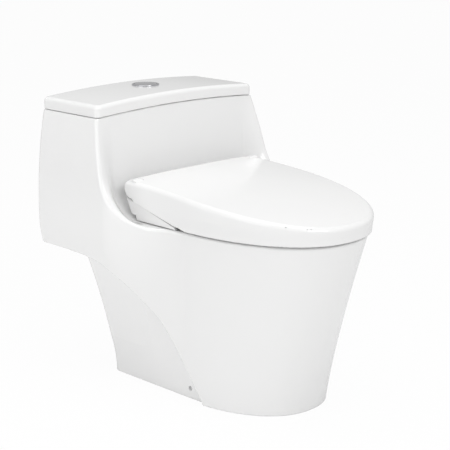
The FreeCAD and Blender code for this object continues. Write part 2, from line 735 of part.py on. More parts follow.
def make_china_body():
    deck, seam, rise = size("deck_height"), size("seam_height"), size("seam_rise")
    wall, wide = size("china_wall"), size("belly_half_width")
    overhang = size("overhang_height")
    shell = rear_hull(seam + 2 * rise).fuse(front_hull())
    shell = shell.cut(cove_cutter(size("wing_cove_radius"), -size("wing_cove_start"), 2 * wide))
    shell = shell.cut(seat_recess())
    shell = shell.cut(crest_cutter())
    arch = size("tank_half_width") ** 2 / (2 * rise)
    crown = Part.makeCylinder(arch, 3 * size("tank_back"),
                              Vector(0, -size("tank_back"), seam + rise - arch), Vector(0, 1, 0))
    low_part = Part.makeBox(4 * wide, 4 * wide, deck + 40, Vector(-2 * wide, -2 * wide, 0))
    shell = shell.common(crown.fuse(low_part))
    shell = shell.fuse(pedestal_block(overhang))

    under = pedestal_block(overhang - wall, wall)
    under.translate(Vector(0, 0, -0.01))
    rim_end = size("seat_cove_start") - wall
    rim = block([nose(z, 1.5 * wall, 3) + [(bowl_half(z) - 2 * wall, station(z), z),
                                           (hull_half(rim_end, z) - 2 * wall, rim_end, z)]
                 for z in (overhang - 3 * wall, deck - wall)])
    hollow = under.fuse(rim)

    bore, lift = size("outlet_radius + outlet_play"), size("outlet_lift")
    horn_top = size("outlet_lift + outlet_length")
    web = size("trap_radius + trap_wall")
    lining = bowl_casing(size("bowl_wall"))
    lining = lining.fuse(Part.makeBox(2 * web, 2 * deck, deck, Vector(
        -web, -size("bowl_mouth_back + bowl_mouth_half"), 0)))
    horn = upright(bore + size("outlet_wall"), 0, 0, lift, horn_top + size("trap_wall"))
    lining = lining.fuse(horn)
    body = shell.cut(hollow.cut(lining))

    body = body.cut(bowl_form())
    body = body.cut(trap_pipe(size("trap_radius")))
    body = body.cut(water_channel(size("channel_radius")))
    body = body.cut(upright(bore, 0, 0, lift - 5, horn_top))
    body = body.cut(upright(3 * bore, 0, 0, -1, lift).common(under))

    floor, inset = size("tank_floor"), size("tank_wall")
    front, back = size("tank_floor_front"), size("tank_back") - inset
    tank = block([tank_outline(z, tank_half(z) - inset, front + lean, back)
                 for z, lean in ((floor, 0), ((floor + seam) / 2, 8), (seam + 3 * rise, 22))])
    body = body.cut(tank)
    body = body.cut(hole(size("flush_hole_radius"), 0, size("flush_y"), floor - 12, floor + 1))
    body = body.cut(hole(size("supply_hole_radius"), -size("supply_x"), size("supply_y"),
                         overhang - 1, floor + 1))
    for side in (-1, 1):
        body = body.cut(hole(size("deck_hole_radius"), side * size("deck_bolt_x"),
                             -size("deck_bolt_y"), overhang, deck + 1, 8))
    body = body.cut(hole(size("service_hole_radius"), size("service_hole_x"),
                         -size("deck_bolt_y"), overhang, deck + 1))
    for side in (-1, 1):
        body = body.cut(Part.makeCylinder(size("side_hole_radius"), 4 * wall,
                                          Vector(side * size("base_half_width + 2 * china_wall"),
                                                 -size("side_screw_y"), size("side_screw_z")),
                                          Vector(-side, 0, 0)))
    access = size("service_half_width")
    body = body.cut(Part.makeBox(2 * access, 3 * wall, size("service_height"),
                                 Vector(-access, size("pedestal_back") - 1.5 * wall, -1)))
    return formed("china_body", body.removeSplitter())


def tank_outline(z, half, front, back):
    """The +X half of the tank's inside at height z, with its corners taken off."""
    corner = size("corner_radius")
    return [(half - corner, front, z), (half, front + corner, z), (half, back - corner, z),
            (half - corner, back, z)]


make_china_body()

# ---------------------------------------------------------------- floor fixings


def side_label(side):
    return "left" if side < 0 else "right"


padded("outlet_gasket", many_sided("outlet_radius + outlet_gasket_width", 16), "outlet_lift",
       holes=[("outlet_radius", "0", "0")])
for side in (-1, 1):
    face = f"{side} * (base_half_width - pedestal_step - china_wall - fit_gap)"
    bracket = padded(f"floor_bracket_{side_label(side)}",
                     [("0", "0"), (f"{-side} * bracket_foot", "0"),
                      (f"{-side} * bracket_foot", "bracket_thickness"),
                      (f"{-side} * bracket_thickness", "bracket_thickness"),
                      (f"{-side} * bracket_thickness", "bracket_height"), ("0", "bracket_height")],
                     "bracket_width", "XZ_Plane", (face, "-side_screw_y", "0"), midplane=True)
    hole = new_sketch(bracket, "YZ_Plane")
    add_polygon(hole, many_sided("side_screw_radius + 0.05", 8, "0", "side_screw_z"))
    pocket(bracket, hole, midplane=True)
    head = f"{side} * (base_half_width - pedestal_step - china_wall / 2)"
    stacked(f"side_screw_{side_label(side)}",
            [("side_screw_radius", "-22", "0"), ("side_hole_radius - 0.6", "0", "4")],
            (head, "-side_screw_y", "side_screw_z"), (0, 1, 0), 90 * side, 8)

# ---------------------------------------------------------------- seat fixing on the deck
padded("seat_mounting_plate", box_points("-plate_half_width", "plate_half_width",
                                         "-plate_front", "plate_back"),
       "plate_thickness", at=("0", "0", "deck_height"),
       openings=[many_sided("deck_bolt_radius + 0.2", 8, f"{side} * deck_bolt_x", "-deck_bolt_y")
                 for side in (-1, 1)])
for side in (-1, 1):
    spot = (f"{side} * deck_bolt_x", "-deck_bolt_y")
    stacked(f"deck_bolt_{side_label(side)}",
            [("deck_bolt_radius", "-bolt_length", "0"), ("bolt_head", "0", "3")],
            (*spot, "deck_height + plate_thickness"), sides=8)
    padded(f"deck_nut_{side_label(side)}", many_sided("deck_nut_radius", 6), "10",
           at=(*spot, "deck_height - china_wall - 10"),
           openings=[many_sided("deck_bolt_radius + 0.05", 8)])

# ---------------------------------------------------------------- the seat unit's fixed parts


def box(x0, x1, y0, y1, z0, z1):
    return Part.makeBox(x1 - x0, y1 - y0, z1 - z0, Vector(x0, y0, z0))


def bar(points, x0, x1):
    """A bar along X from a closed (y, z) outline."""
    return flat_face([Vector(x0, y, z) for y, z in points]).extrude(Vector(x1 - x0, 0, 0))


def rod(radius, x0, x1, y, z):
    return Part.makeCylinder(radius, x1 - x0, Vector(x0, y, z), Vector(1, 0, 0))


def both_sides(shape):
    return shape.fuse(shape.mirror(Vector(), Vector(1, 0, 0)))


def parting(y, lift=0.0):
    """Height of the slanting joint between the lid's skirt and the housing at y."""
    return size("parting_front_z") + size("parting_slope") * (y + size("parting_front")) + lift


def make_housing():
    """The seat unit's cover: two cheeks, the hump between them and the hinge knuckles."""
    low, tip, front = size("unit_z"), -size("unit_tip"), -size("unit_front")
    wide, cheek, hump = size("unit_half_width"), size("unit_cheek"), size("hump_half_width")
    inner, wall = size("knuckle_inner"), size("unit_wall")
    axis_y, axis_z = size("hinge_y"), size("hinge_z")
    rear, hump_back = size("parting_back"), axis_y - size("lid_round") - 2
    side = [(tip, low), (tip + 5, parting(tip + 5, -1)), (rear, parting(rear, -1)),
            (axis_y + 4, low + 12), (axis_y - 9, low + 11), (axis_y - 12, low)]
    cover = bar(side, cheek, wide)
    floor = size("tray_z + tray_thickness")
    cover = cover.fuse(box(hump - 1, cheek + 1, front, axis_y - 14, floor, floor + wall))
    top = [(front, low), (front, size("hump_front_z") - 8), (front + 8, size("hump_front_z")),
           (hump_back, size("hump_back_z")), (hump_back, low)]
    cover = cover.fuse(bar(top, -1, hump))
    web = [(hump_back - 2, axis_z - 9), (axis_y, axis_z - 9), (axis_y, axis_z + 5),
           (hump_back - 2, axis_z + 5)]
    knuckle = rod(size("knuckle_radius"), inner, hump, axis_y, axis_z)
    cover = cover.fuse(bar(web, inner, hump)).fuse(knuckle)
    hollow = [(front + wall, low - 1), (front + wall, size("hump_front_z") - 9),
              (front + 9, size("hump_front_z") - wall), (hump_back - wall, size("hump_back_z") - wall),
              (hump_back - wall, low - 1)]
    cover = cover.cut(bar(hollow, -2, inner - wall))
    cover = cover.cut(bar([(y + wall * (1 if y < -60 else 0), z - 4) for y, z in side[:2]]
                          + [(y - wall, z - 4) for y, z in side[2:]], cheek + wall, wide - wall))
    cover = cover.cut(box(cheek - 1, size("ring_half_width") + 2, tip - 1, 2 - size("ring_back"),
                          low - 1, axis_z))
    cover = cover.cut(rod(size("lid_round") + 1.5, -1, inner - wall, axis_y, axis_z))
    cover = cover.cut(rod(size("pin_radius"), inner + 1, hump + 1, axis_y, axis_z))
    cover = both_sides(cover).removeSplitter()
    slot = 2 * size("nozzle_radius") + size("nozzle_pitch / 2")
    cover = cover.cut(box(-slot, slot, front - 1, front + wall + 1, low - 1, low + 17))
    return formed("seat_housing", cover)


make_housing()
notch_front, notch_half = "-unit_front + 4", "nozzle_pitch / 2 + 2 * nozzle_radius + 3"
tray = padded("seat_base_tray",
              [("-tray_half_width", notch_front), (f"-({notch_half})", notch_front),
               (f"-({notch_half})", "-plate_front"), (notch_half, "-plate_front"),
               (notch_half, notch_front), ("tray_half_width", notch_front),
               ("tray_half_width", "hinge_y - lid_round - 5.5"),
               ("-tray_half_width", "hinge_y - lid_round - 5.5")],
              "tray_thickness", at=("0", "0", "tray_z"),
              openings=[many_sided("bolt_head + 0.6", 8, f"{side} * deck_bolt_x", "-deck_bolt_y")
                        for side in (-1, 1)]
              + [many_sided("thread_radius + 0.2", 8, "service_hole_x", "-deck_bolt_y")])
for side in (-1, 1):
    name = side_label(side)
    turned(f"hinge_pin_{name}",
           [("0", "0"), ("pin_radius", "0"), ("pin_radius", "pin_end - knuckle_inner - 2"),
            ("0", "pin_end - knuckle_inner - 2")],
           (f"{side} * (knuckle_inner + 1.5)", "hinge_y", "hinge_z"), (0, 1, 0), 90 * side)

heater = padded("water_heater", box_points("-service_hole_x - 8", "heater_length - service_hole_x - 8",
                                           "-heater_width / 2", "heater_width / 2"),
                "heater_height", at=("0", "-27", "tray_z + tray_thickness + 0.5"))
inlet = turned("inlet_valve", [("0", "-inlet_length"), ("thread_radius", "-inlet_length"),
                               ("thread_radius", "inlet_thread - inlet_length"),
                               ("0", "inlet_thread - inlet_length")],
               ("service_hole_x", "-deck_bolt_y", "tray_z + tray_thickness"))
add_levels(inlet, [("thread_radius - thread_relief", "inlet_thread - inlet_length", "34")])

def make_guide():
    """The block that carries both spray wands, with two side plates down to the tray."""
    slope = math.radians(size("nozzle_slope"))
    wall, radius, half = size("guide_wall"), size("nozzle_radius"), size("nozzle_pitch / 2")
    front, back = -38.0, 14.0
    run = Vector(0, -math.cos(slope), -math.sin(slope))
    block_half = radius + wall
    length = (back - front) / math.cos(slope)
    body = Part.makeBox(2 * (half + block_half), 2 * block_half, length,
                        Vector(-half - block_half, -block_half, 0))
    for side in (-1, 1):
        body = body.cut(Part.makeCylinder(radius + 0.1, length + 2, Vector(side * half, 0, -1)))
    body.Placement = Placement(Vector(0, back, wand_z(back)), Rotation(Vector(0, 0, 1), run))
    floor, outer = size("tray_z + tray_thickness"), half + block_half
    for side in (-1, 1):
        x0, x1 = sorted((side * outer, side * (outer + 3)))
        body = body.fuse(bar([(-28, floor), (12, floor), (12, 440), (-28, 412)], x0, x1))
    return formed("nozzle_guide", body)


def wand_z(y):
    """Height of the spray wands' axis at y: it dips below the seat ring in front."""
    return size("ring_bottom - 8") + (y + size("unit_front")) * math.tan(
        math.radians(size("nozzle_slope")))


make_guide()


for name, side in (("rear", -1), ("front", 1)):
    slope = math.radians(size("nozzle_slope"))
    wand = turned(f"nozzle_{name}",
                  [("0", "0"), ("nozzle_radius", "0"), ("nozzle_radius", "nozzle_length"),
                   ("0", "nozzle_length")],
                  (f"{side} * nozzle_pitch / 2", "0", "0"))
    tail = -size("unit_front") + 4 + size("nozzle_length") * math.cos(slope)
    wand.setExpression(".Placement.Base.y", None)
    wand.setExpression(".Placement.Base.z", None)
    run = Vector(0, -math.cos(slope), -math.sin(slope))
    wand.Placement = Placement(Vector(side * size("nozzle_pitch / 2"), tail, wand_z(tail)),
                               Rotation(Vector(0, 0, 1), run))

# ---------------------------------------------------------------- seat ring and lid


def round_front(half, tip, station, nose, back, inset=0.0, corner=0.0):
    """Plan face with a round front of tangent arcs, straight sides and a square rear."""
    half, tip, nose, back = half - inset, tip - inset, nose - inset, back - inset
    run = tip - station - nose
    side_r = (half ** 2 + run ** 2 - nose ** 2) / (2 * (half - nose))
    side_c, nose_c = Vector(half - side_r, -station, 0), Vector(0, nose - tip, 0)
    away = (nose_c - side_c).normalize()
    touch = nose_c + away * nose
    between = (away + Vector(1, 0, 0)).normalize()
    edges = [Part.Arc(Vector(-touch.x, touch.y, 0), Vector(0, -tip, 0), touch).toShape(),
             Part.Arc(touch, side_c + between * side_r, Vector(half, -station, 0)).toShape()]
    start = Vector(half, -station, 0)
    if corner:
        bow = corner * (1 - math.sqrt(0.5))
        edges.append(Part.makeLine(start, Vector(half, back - corner, 0)))
        edges.append(arc((half, back - corner, 0), (half - bow, back - bow, 0),
                         (half - corner, back, 0)))
        start = Vector(half - corner, back, 0)
    else:
        edges.append(Part.makeLine(start, Vector(half, back, 0)))
        start = Vector(half, back, 0)
    edges.append(Part.makeLine(start, Vector(-start.x, back, 0)))
    flip = [edge.mirror(Vector(), Vector(1, 0, 0)) for edge in edges[1:-1]]
    return Part.Face(Part.Wire(Part.__sortEdges__(edges + flip)))


def ring_form(low, high, inset=0.0):
    """The seat ring between two levels, its walls moved inwards by an inset."""
    plan = round_front(size("ring_half_width"), size("ring_tip"), size("ring_station"),
                       size("ring_nose"), -size("ring_back"), inset, size("ring_corner") - inset)
    solid = plan.extrude(Vector(0, 0, high - low))
    solid.translate(Vector(0, 0, low))
    radius = size("seat_hole_half") + inset
    back, front = -size("seat_hole_back") - radius + inset, -size("seat_hole_front") + radius - inset
    hole = racetrack([(low - 1, radius, front - radius, back + radius),
                      (high + 1, radius, front - radius, back + radius)])
    return solid.cut(hole)


def swing(centre, radius, start, end, count):
    """Points along a level arc between two angles."""
    turns = [start + (end - start) * i / count for i in range(count + 1)]
    return [centre + Vector(radius * math.cos(t), radius * math.sin(t), 0) for t in turns]


def ring_band(low, high, inset):
    """A flat-sided band that follows the seat ring, for what is hidden inside it."""
    half, tip = size("ring_half_width") - inset, size("ring_tip") - inset
    nose_r, back = size("ring_nose") - inset, -size("ring_back") - inset
    corner, level = size("ring_corner") - inset, -size("ring_station")
    run = tip + level - nose_r
    side_r = (half ** 2 + run ** 2 - nose_r ** 2) / (2 * (half - nose_r))
    side_c, nose_c = Vector(half - side_r, level, low), Vector(0, nose_r - tip, low)
    lean = math.atan2(nose_c.y - side_c.y, nose_c.x - side_c.x)
    right = swing(nose_c, nose_r, -math.pi / 2, lean, 6)
    right += swing(side_c, side_r, lean, 0, 5)[1:]
    right += swing(Vector(half - corner, back - corner, low), corner, 0, math.pi / 2, 3)
    outer = right + [Vector(-spot.x, spot.y, low) for spot in reversed(right[1:])]
    radius, count = size("seat_hole_half") + inset, 12
    flat = radius / math.cos(math.pi / 2 / count)
    front = Vector(0, radius - inset - size("seat_hole_front"), low)
    rear = Vector(0, inset - radius - size("seat_hole_back"), low)
    inner = swing(front, flat, math.pi, 2 * math.pi, count) + swing(rear, flat, 0, math.pi, count)
    return flat_face(outer).cut(flat_face(inner)).extrude(Vector(0, 0, high - low))


def top_edges(shape, z):
    """The outer level edges of a shape at height z."""
    level = [e for e in shape.Edges
             if abs(e.BoundBox.ZMin - z) < 1e-4 and abs(e.BoundBox.ZMax - z) < 1e-4]
    reach = size("seat_hole_half") + 1
    inside = [e for e in level if e.BoundBox.XMax < reach and e.BoundBox.XMin > -reach
              and e.BoundBox.YMin > -size("seat_hole_front") - 1
              and e.BoundBox.YMax < -size("seat_hole_back") + 1]
    return [e for e in level if not any(e.isSame(i) for i in inside)]


def make_ring():
    low, high, wall = size("ring_bottom"), size("ring_top"), size("ring_wall")
    top = ring_form(low, high)
    top = top.makeChamfer(5, top_edges(top, high))
    top = top.cut(ring_band(low - 1, high - wall, wall))
    axis_y, axis_z, eye = size("hinge_y"), size("hinge_z"), size("arm_radius")
    rear, inner = -size("ring_back"), size("arm_inner")
    arm = bar([(rear - 6, low + 4), (rear - 6, high - 1), (rear + 4, high),
               (axis_y - 5, axis_z + eye - 1), (axis_y + 2, axis_z - eye + 1), (rear + 6, low + 6)],
              inner, inner + size("arm_width"))
    arm = arm.fuse(rod(eye, inner, inner + size("arm_width"), axis_y, axis_z))
    arm = arm.cut(rod(size("pin_radius + pin_play"), inner - 1, inner + 30, axis_y, axis_z))
    formed("seat_ring_top", top.fuse(both_sides(arm)).removeSplitter())
    formed("seat_ring_bottom", ring_band(low, low + 2.5, wall + 0.1))
    formed("seat_heating_element", ring_band(high - wall - 0.8, high - wall, wall + 8))


def lid_form(inset=0.0):
    """The lid's outer form, or with an inset the room inside it."""
    plan = round_front(size("lid_half_width"), size("lid_tip"), size("lid_station"),
                       size("lid_nose"), size("lid_back") + 5, inset)
    low, high = size("lid_lower - 20"), size("hinge_z + 60")
    solid = plan.extrude(Vector(0, 0, high - low))
    solid.translate(Vector(0, 0, low))
    axis_y, axis_z, bend = size("hinge_y"), size("hinge_z"), size("lid_round") - inset
    front, wide = -2 * size("lid_tip"), 2 * size("lid_half_width")
    skirt, start = size("lid_lower"), -size("parting_front")
    top = [line((-wide, axis_y, axis_z + bend), (-wide, axis_y, high)),
           line((-wide, axis_y, high), (-wide, front, high))]
    if inset:
        low_side = [line((-wide, front, high), (-wide, front, low)),
                    line((-wide, front, low), (-wide, axis_y + bend, low)),
                    line((-wide, axis_y + bend, low), (-wide, axis_y + bend, axis_z)),
                    arc((-wide, axis_y + bend, axis_z),
                        (-wide, axis_y + bend * math.sqrt(0.5), axis_z + bend * math.sqrt(0.5)),
                        (-wide, axis_y, axis_z + bend))]
    else:
        turn = axis_y - 6
        low_side = [line((-wide, front, high), (-wide, front, skirt)),
                    line((-wide, front, skirt), (-wide, start, skirt)),
                    line((-wide, start, skirt), (-wide, start + 2, parting(start + 2, 0.5))),
                    line((-wide, start + 2, parting(start + 2, 0.5)),
                         (-wide, turn, parting(turn, 0.5))),
                    line((-wide, turn, parting(turn, 0.5)), (-wide, axis_y, axis_z - bend)),
                    arc((-wide, axis_y, axis_z - bend), (-wide, axis_y + bend, axis_z),
                        (-wide, axis_y, axis_z + bend))]
    solid = solid.common(side_profile(low_side + top, wide))
    crown = size("lid_crown") - inset
    return solid.common(rod(crown, -wide, wide, size("lid_peak_y"), size("lid_peak_z - lid_crown")))


def make_lid():
    axis_y, axis_z, lug = size("hinge_y"), size("hinge_z"), size("lug_inner")
    wall, bend = size("lid_wall"), size("lid_round")
    shell = lid_form().cut(lid_form(wall))
    arm = size("arm_inner")
    notch = box(arm - 1.5, arm + size("arm_width") + 1.5, axis_y + 14, axis_y + bend + 2,
                axis_z - 16, axis_z - 1)
    shell = shell.cut(both_sides(notch))
    boss = rod(bend - wall + 0.3, lug, size("lid_half_width") - 1, axis_y, axis_z)
    boss = boss.cut(rod(size("pin_radius + pin_play"), lug - 1, size("pin_end") + 1, axis_y, axis_z))
    formed("seat_lid", shell.fuse(both_sides(boss)).removeSplitter())


make_ring()
make_lid()
for name, x, y in (("front", 118, 295), ("rear", 150, 120)):
    for side in (-1, 1):
        padded(f"seat_bumper_{name}_{side_label(side)}",
               box_points("-bumper_radius", "bumper_radius", "-1.6 * bumper_radius",
                          "1.6 * bumper_radius"),
               "ring_bottom - deck_height - 0.3", at=(f"{side * x}", f"{-y}", "deck_height + 0.3"))
for side in (-1, 1):
    padded(f"lid_bumper_{side_label(side)}",
           box_points("-bumper_radius", "bumper_radius", "-bumper_radius / 2", "bumper_radius / 2"),
           "13", at=(f"{side * 45}", "-365", "ring_top + 0.3"))

# ---------------------------------------------------------------- tank lid and flush buttons


def make_tank_lid():
    """The tank's arched cover, hollow below, with a lip that keeps it in the opening."""
    half, seam = size("tank_lid_half"), size("tank_lid_bottom")
    rise, top, crown = size("seam_rise"), size("seam_height + tank_lid_height"), size("tank_lid_crown")
    front, back, wall = size("tank_front - 2"), size("tank_back"), size("tank_lid_wall")
    low = seam + rise * (1 - (half / size("tank_half_width")) ** 2)

    def bow(z, lift, inset=0.0):
        return arc((-half + inset, front, z), (0, front, z + lift), (half - inset, front, z))

    section = [bow(low, seam + rise - low), line((half, front, low), (half, front, top)),
               bow(top, crown), line((-half, front, top), (-half, front, low))]
    cover = Part.Face(Part.Wire(Part.__sortEdges__(section))).extrude(Vector(0, back - front, 0))
    edges = [e for e in cover.Edges if e.BoundBox.ZMin > top - 1 and e.BoundBox.ZMax > top - 0.5]
    cover = cover.makeChamfer(4, edges)
    cover = cover.cut(box(wall - half, half - wall, front + wall, back - wall, low - 1, top - 6))
    lip = box(22 - half, half - 22, front + 21, back - 19, seam - 8, top - 2)
    lip = lip.cut(box(27 - half, half - 27, front + 26, back - 24, seam - 9, top - 1))
    cover = cover.fuse(lip.common(box(-half, half, front, back, 0, top - 5)))
    cover = cover.cut(upright(size("bezel_radius - 3"), 0, size("button_y"), seam - 9, top + 30))
    return formed("tank_lid", cover.removeSplitter())


make_tank_lid()
housing = turned("button_housing",
                 [("button_radius + button_gap", "0"), ("bezel_radius", "0"),
                  ("bezel_radius", "bezel_height"),
                  ("button_radius + button_gap", "bezel_height")],
                 ("0", "button_y", "button_z"))
add_levels(housing, [("bezel_radius - 3.5", "-12", "0")], 24,
           [("button_radius + button_gap", "-8", "0")])
add_levels(housing, [("shank_radius", "-shank_length", "-12")],
           bores=[("shank_radius - 4", "-shank_length", "-8")])
padded("button_nut", many_sided("bezel_radius", 6), "8",
       at=("0", "button_y", "seam_height + tank_lid_height - 14"),
       openings=[many_sided("shank_radius + 0.1", 12)])


def make_buttons():
    """The two halves of the flush button, each with a push rod down the shank."""
    reach, depth = size("button_radius"), 6.0
    split, gap = size("button_split"), size("button_gap / 2")
    whole = Part.makeCylinder(reach, depth, Vector(0, 0, size("bezel_height") + 0.5 - depth))
    for name, x0, x1, rod_x in (("large", -reach - 1, split - gap, -6), ("small", split + gap,
                                                                       reach + 1, 12)):
        half = whole.common(box(x0, x1, -reach - 1, reach + 1, -20, 20))
        half = half.fuse(box(rod_x - 2, rod_x + 2, -2, 2, -size("shank_length") + 6, 0))
        node = formed(f"button_{name}", half)
        place(node, ("0", "button_y", "button_z"))


make_buttons()

# ---------------------------------------------------------------- flushing parts in the tank
flush = ("0", "flush_y", "tank_floor")
stacked("flush_valve_base",
        [("flush_hole_radius - 1.5", "-10", "0"), ("tower_radius + 6", "0", "8")], flush,
        bores=[("flush_hole_radius - 5", "-10", "8")])
tower = stacked("flush_valve_tower",
                [("tower_radius", "8", "tower_height"),
                 ("tower_neck_radius", "tower_height", "tower_top - tank_floor")], flush,
                bores=[("tower_radius - tower_wall", "8", "tower_height - tower_wall"),
                       ("tower_neck_radius - tower_wall", "tower_height - 2 * tower_wall",
                        "tower_top - tank_floor")])
window = new_sketch(tower, "XZ_Plane")
add_polygon(window, box_points("-tower_radius / 2", "tower_radius / 2", "16", "tower_height - 24"))
pocket(tower, window, midplane=True)
stacked("flush_plunger", [("overflow_radius", "14", "overflow_top - tank_floor")], flush,
        bores=[("overflow_radius - 2", "14", "overflow_top - tank_floor")])
stacked("flush_seal", [("seal_radius", "8", "14")], flush,
        bores=[("overflow_radius - 2", "8", "14")])

supply = ("-supply_x", "supply_y", "tank_floor")
tail = "overhang_height - tank_floor - tail_length"
column = turned("fill_valve_column",
                [("0", tail), ("thread_radius", tail), ("thread_radius", tail + " + tail_thread"),
                 ("0", tail + " + tail_thread")], supply)
add_levels(column, [("thread_radius - thread_relief", tail + " + tail_thread", "0"),
                    ("thread_radius + 7", "0", "8"),
                    ("column_radius", "8", "column_top - tank_floor")])
padded("fill_valve_nut", many_sided("thread_radius + 7", 6), "8",
       at=("-supply_x", "supply_y", "overhang_height - 8"),
       openings=[many_sided("thread_radius - thread_relief + 0.05", 12)])
stacked("fill_valve_cap", [("column_radius + 9", "0", "15")],
        ("-supply_x", "supply_y", "column_top"))
stacked("fill_valve_float", [("float_radius", "-float_height", "0")],
        ("-supply_x", "supply_y", "float_top"),
        bores=[("column_radius + 0.08", "-float_height", "0")])


def make_hose():
    """The thin hose that carries refill water from the fill valve to the overflow."""
    start = Vector(-size("supply_x"), size("supply_y"), size("column_top") + 8)
    end = Vector(0, size("flush_y"), size("tower_top") - 12)
    ahead = Vector(end.x - start.x, end.y - start.y, 0).normalize()
    start = start + ahead * size("column_radius + 9.2")
    end = Vector(-size("tower_neck_radius") - 0.1, end.y, end.z)
    away = Vector(-1, 0, 0)
    path = [start, start + ahead * 30, end + away * 30, end]
    rings = []
    for i, spot in enumerate(path):
        before = (spot - path[i - 1]).normalize() if i else ahead
        after = (path[i + 1] - spot).normalize() if i < 3 else away * -1
        way = (before + after).normalize()
        side = way.cross(Vector(0, 0, 1)).normalize()
        up = side.cross(way)
        rings.append([spot + side * (size("hose_radius") * math.cos(t))
                      + up * (size("hose_radius") * math.sin(t))
                      for t in [math.pi * (k + 0.5) / 4 for k in range(8)]])
    return formed("refill_tube", faceted(rings))


make_hose()

# ---------------------------------------------------------------- check and write
doc.recompute()
nodes = [thing for thing in doc.RootObjects
         if thing.TypeId in ("Part::Feature", "PartDesign::Body")]
for thing in doc.Objects:
    if {"Invalid", "Error"} & set(thing.State):
        raise RuntimeError(f"{thing.Label} failed: {thing.State}")
for node in nodes:
    if node.Shape.isNull() or not node.Shape.isValid():
        raise RuntimeError(f"{node.Label} has no valid shape")
os.makedirs("parts", exist_ok=True)
for node in nodes:
    node.Shape.exportStep(f"parts/{node.Label}.step")
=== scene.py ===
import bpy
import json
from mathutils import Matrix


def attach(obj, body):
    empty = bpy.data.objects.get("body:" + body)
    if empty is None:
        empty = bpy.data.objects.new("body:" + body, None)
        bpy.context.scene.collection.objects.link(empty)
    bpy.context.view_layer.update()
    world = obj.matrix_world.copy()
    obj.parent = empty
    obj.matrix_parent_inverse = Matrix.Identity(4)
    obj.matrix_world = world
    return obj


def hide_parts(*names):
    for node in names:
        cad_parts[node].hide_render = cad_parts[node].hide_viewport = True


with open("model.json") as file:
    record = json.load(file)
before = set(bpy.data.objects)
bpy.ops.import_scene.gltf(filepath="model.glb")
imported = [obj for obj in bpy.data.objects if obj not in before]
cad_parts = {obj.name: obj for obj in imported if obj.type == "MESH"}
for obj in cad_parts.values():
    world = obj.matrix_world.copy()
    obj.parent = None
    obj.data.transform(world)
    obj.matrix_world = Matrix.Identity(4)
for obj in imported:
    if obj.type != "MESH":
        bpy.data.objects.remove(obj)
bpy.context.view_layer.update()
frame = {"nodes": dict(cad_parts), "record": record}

import json
import math

import bpy
import numpy as np
from mathutils import Vector

# A white one-piece toilet with a heated bidet seat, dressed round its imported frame.
# Its large pieces are distance fields: functions of x, y and z that are negative inside the
# piece. The fields measure in millimetres; the meshes that come from them are in metres.

# Heights and depths of the china: deck, joint below the tank's lid and its arch, back.
DECK, SEAM, SEAM_RISE, BACK = 387.0, 603.0, 9.0, 293.0
# Bowl: half-width and reach of its front at the floor, and what they gain up to the deck.
FOOT_HALF, BOWL_FLARE, FOOT_TIP, BOWL_REACH = 150, 36, 300, 97.5
# Where the bowl's side has run out into the tank's side.
SIDE_JOIN = 70
# Tank: half-width at the belly, the belly's height, and the taper above it.
BELLY_HALF, BELLY_Z, TANK_TAPER, TAPER_RUN = 258, 370, 23, 233
# Front of the tank: its top edge, the hollow corners of wing and recess, the wing's place.
TANK_FRONT, WING_START, WING_COVE = 106.0, -54.0, 135.0
RECESS_START, RECESS_COVE, WING_INNER, WING_RUN = 25.0, 70.0, 194, 52
# Recessed foot below the tank.
STEP, HEEL_HALF, HEEL_FLARE, HEEL_TOP, HEEL_BACK = 13, 137, 84, 303, 184.6
# Inside of the bowl.
SUMP_FLOOR, SUMP_HALF, BOWL_DEPTH, MOUTH_GAIN = 88, 44, 202, 76
BOWL_MIDDLE, BOWL_RUN, BOWL_WALL, CHINA_WALL = -191.5, 31.5, 11.0, 12.0
# Inside of the tank, outlet, service opening and side screws.
TANK_FLOOR, TANK_WALL, OUTLET, OUTLET_TOP = 332, 14, 40.0, 54
SERVICE_HALF, SERVICE_TOP, SCREW_Y, SCREW_Z, SCREW_HOLE = 90, 215, -72, 23, 5

HINGE_Y, HINGE_Z = 48.0, 456.0
# Seat lid: plan, lean of its sides, wall, round rear end and the crown of its top.
LID_HALF, LID_TIP, LID_STATION, LID_LEAN, LID_WALL, LID_ROUND = 189.0, 405.0, 106.0, 3.2, 4, 22
CROWN_Y, CROWN_Z, CROWN_SPAN = 114, 478.9, 5000
# Seat ring: plan, hole, height and the arms that lead to the hinge.
RING_HALF, RING_TIP, RING_STATION, RING_BACK, RING_CORNER = 178.0, 397.0, 150.0, 66, 26.0
SEAT_HOLE_HALF, SEAT_HOLE_FRONT, SEAT_HOLE_BACK = 106.0, -332.0, -112.0
RING_LOW, RING_TOP, ARM_INNER, ARM_OUTER, ARM_HALF, EYE = 394, 415, 146, 159, 10.5, 12
ARM_PLAY = 1.5

# Tank lid and flush buttons.
COVER_HALF, COVER_FRONT, COVER_TOP, COVER_CROWN = 233, 104, 630, 10
BUTTON_Y, BUTTON_Z = 214.0, 640.0
BEZEL, CUP, WELL, BUTTON, SHANK, BUTTON_SPLIT = 31.0, 27.6, 26.5, 26.0, 19.0, 9

FULLNESS = 2.25  # how square the round fronts of bowl, lid and ring are
COARSE = 1.0


# ------------------------------------------------------------------ forms as distance fields
def both(a, b, radius):
    """Where two forms overlap, with the edge between them rounded."""
    edge = np.hypot(np.maximum(a + radius, 0), np.maximum(b + radius, 0))
    return edge + np.minimum(np.maximum(a, b), -radius)


def either(a, b, radius):
    """Two forms as one, with the corner between them filled."""
    corner = np.hypot(np.maximum(radius - a, 0), np.maximum(radius - b, 0))
    return np.maximum(np.minimum(a, b), radius) - corner


def less(a, b, radius):
    """A form with another taken away, its new edge rounded."""
    return both(a, -b, radius)


def ramp(share):
    """A smooth rise from 0 to 1."""
    share = np.clip(share, 0, 1)
    return share * share * (3 - 2 * share)


def steepness(share, run):
    """Slope of a ramp that is run long."""
    share = np.clip(share, 0, 1)
    return 6 * share * (1 - share) / run


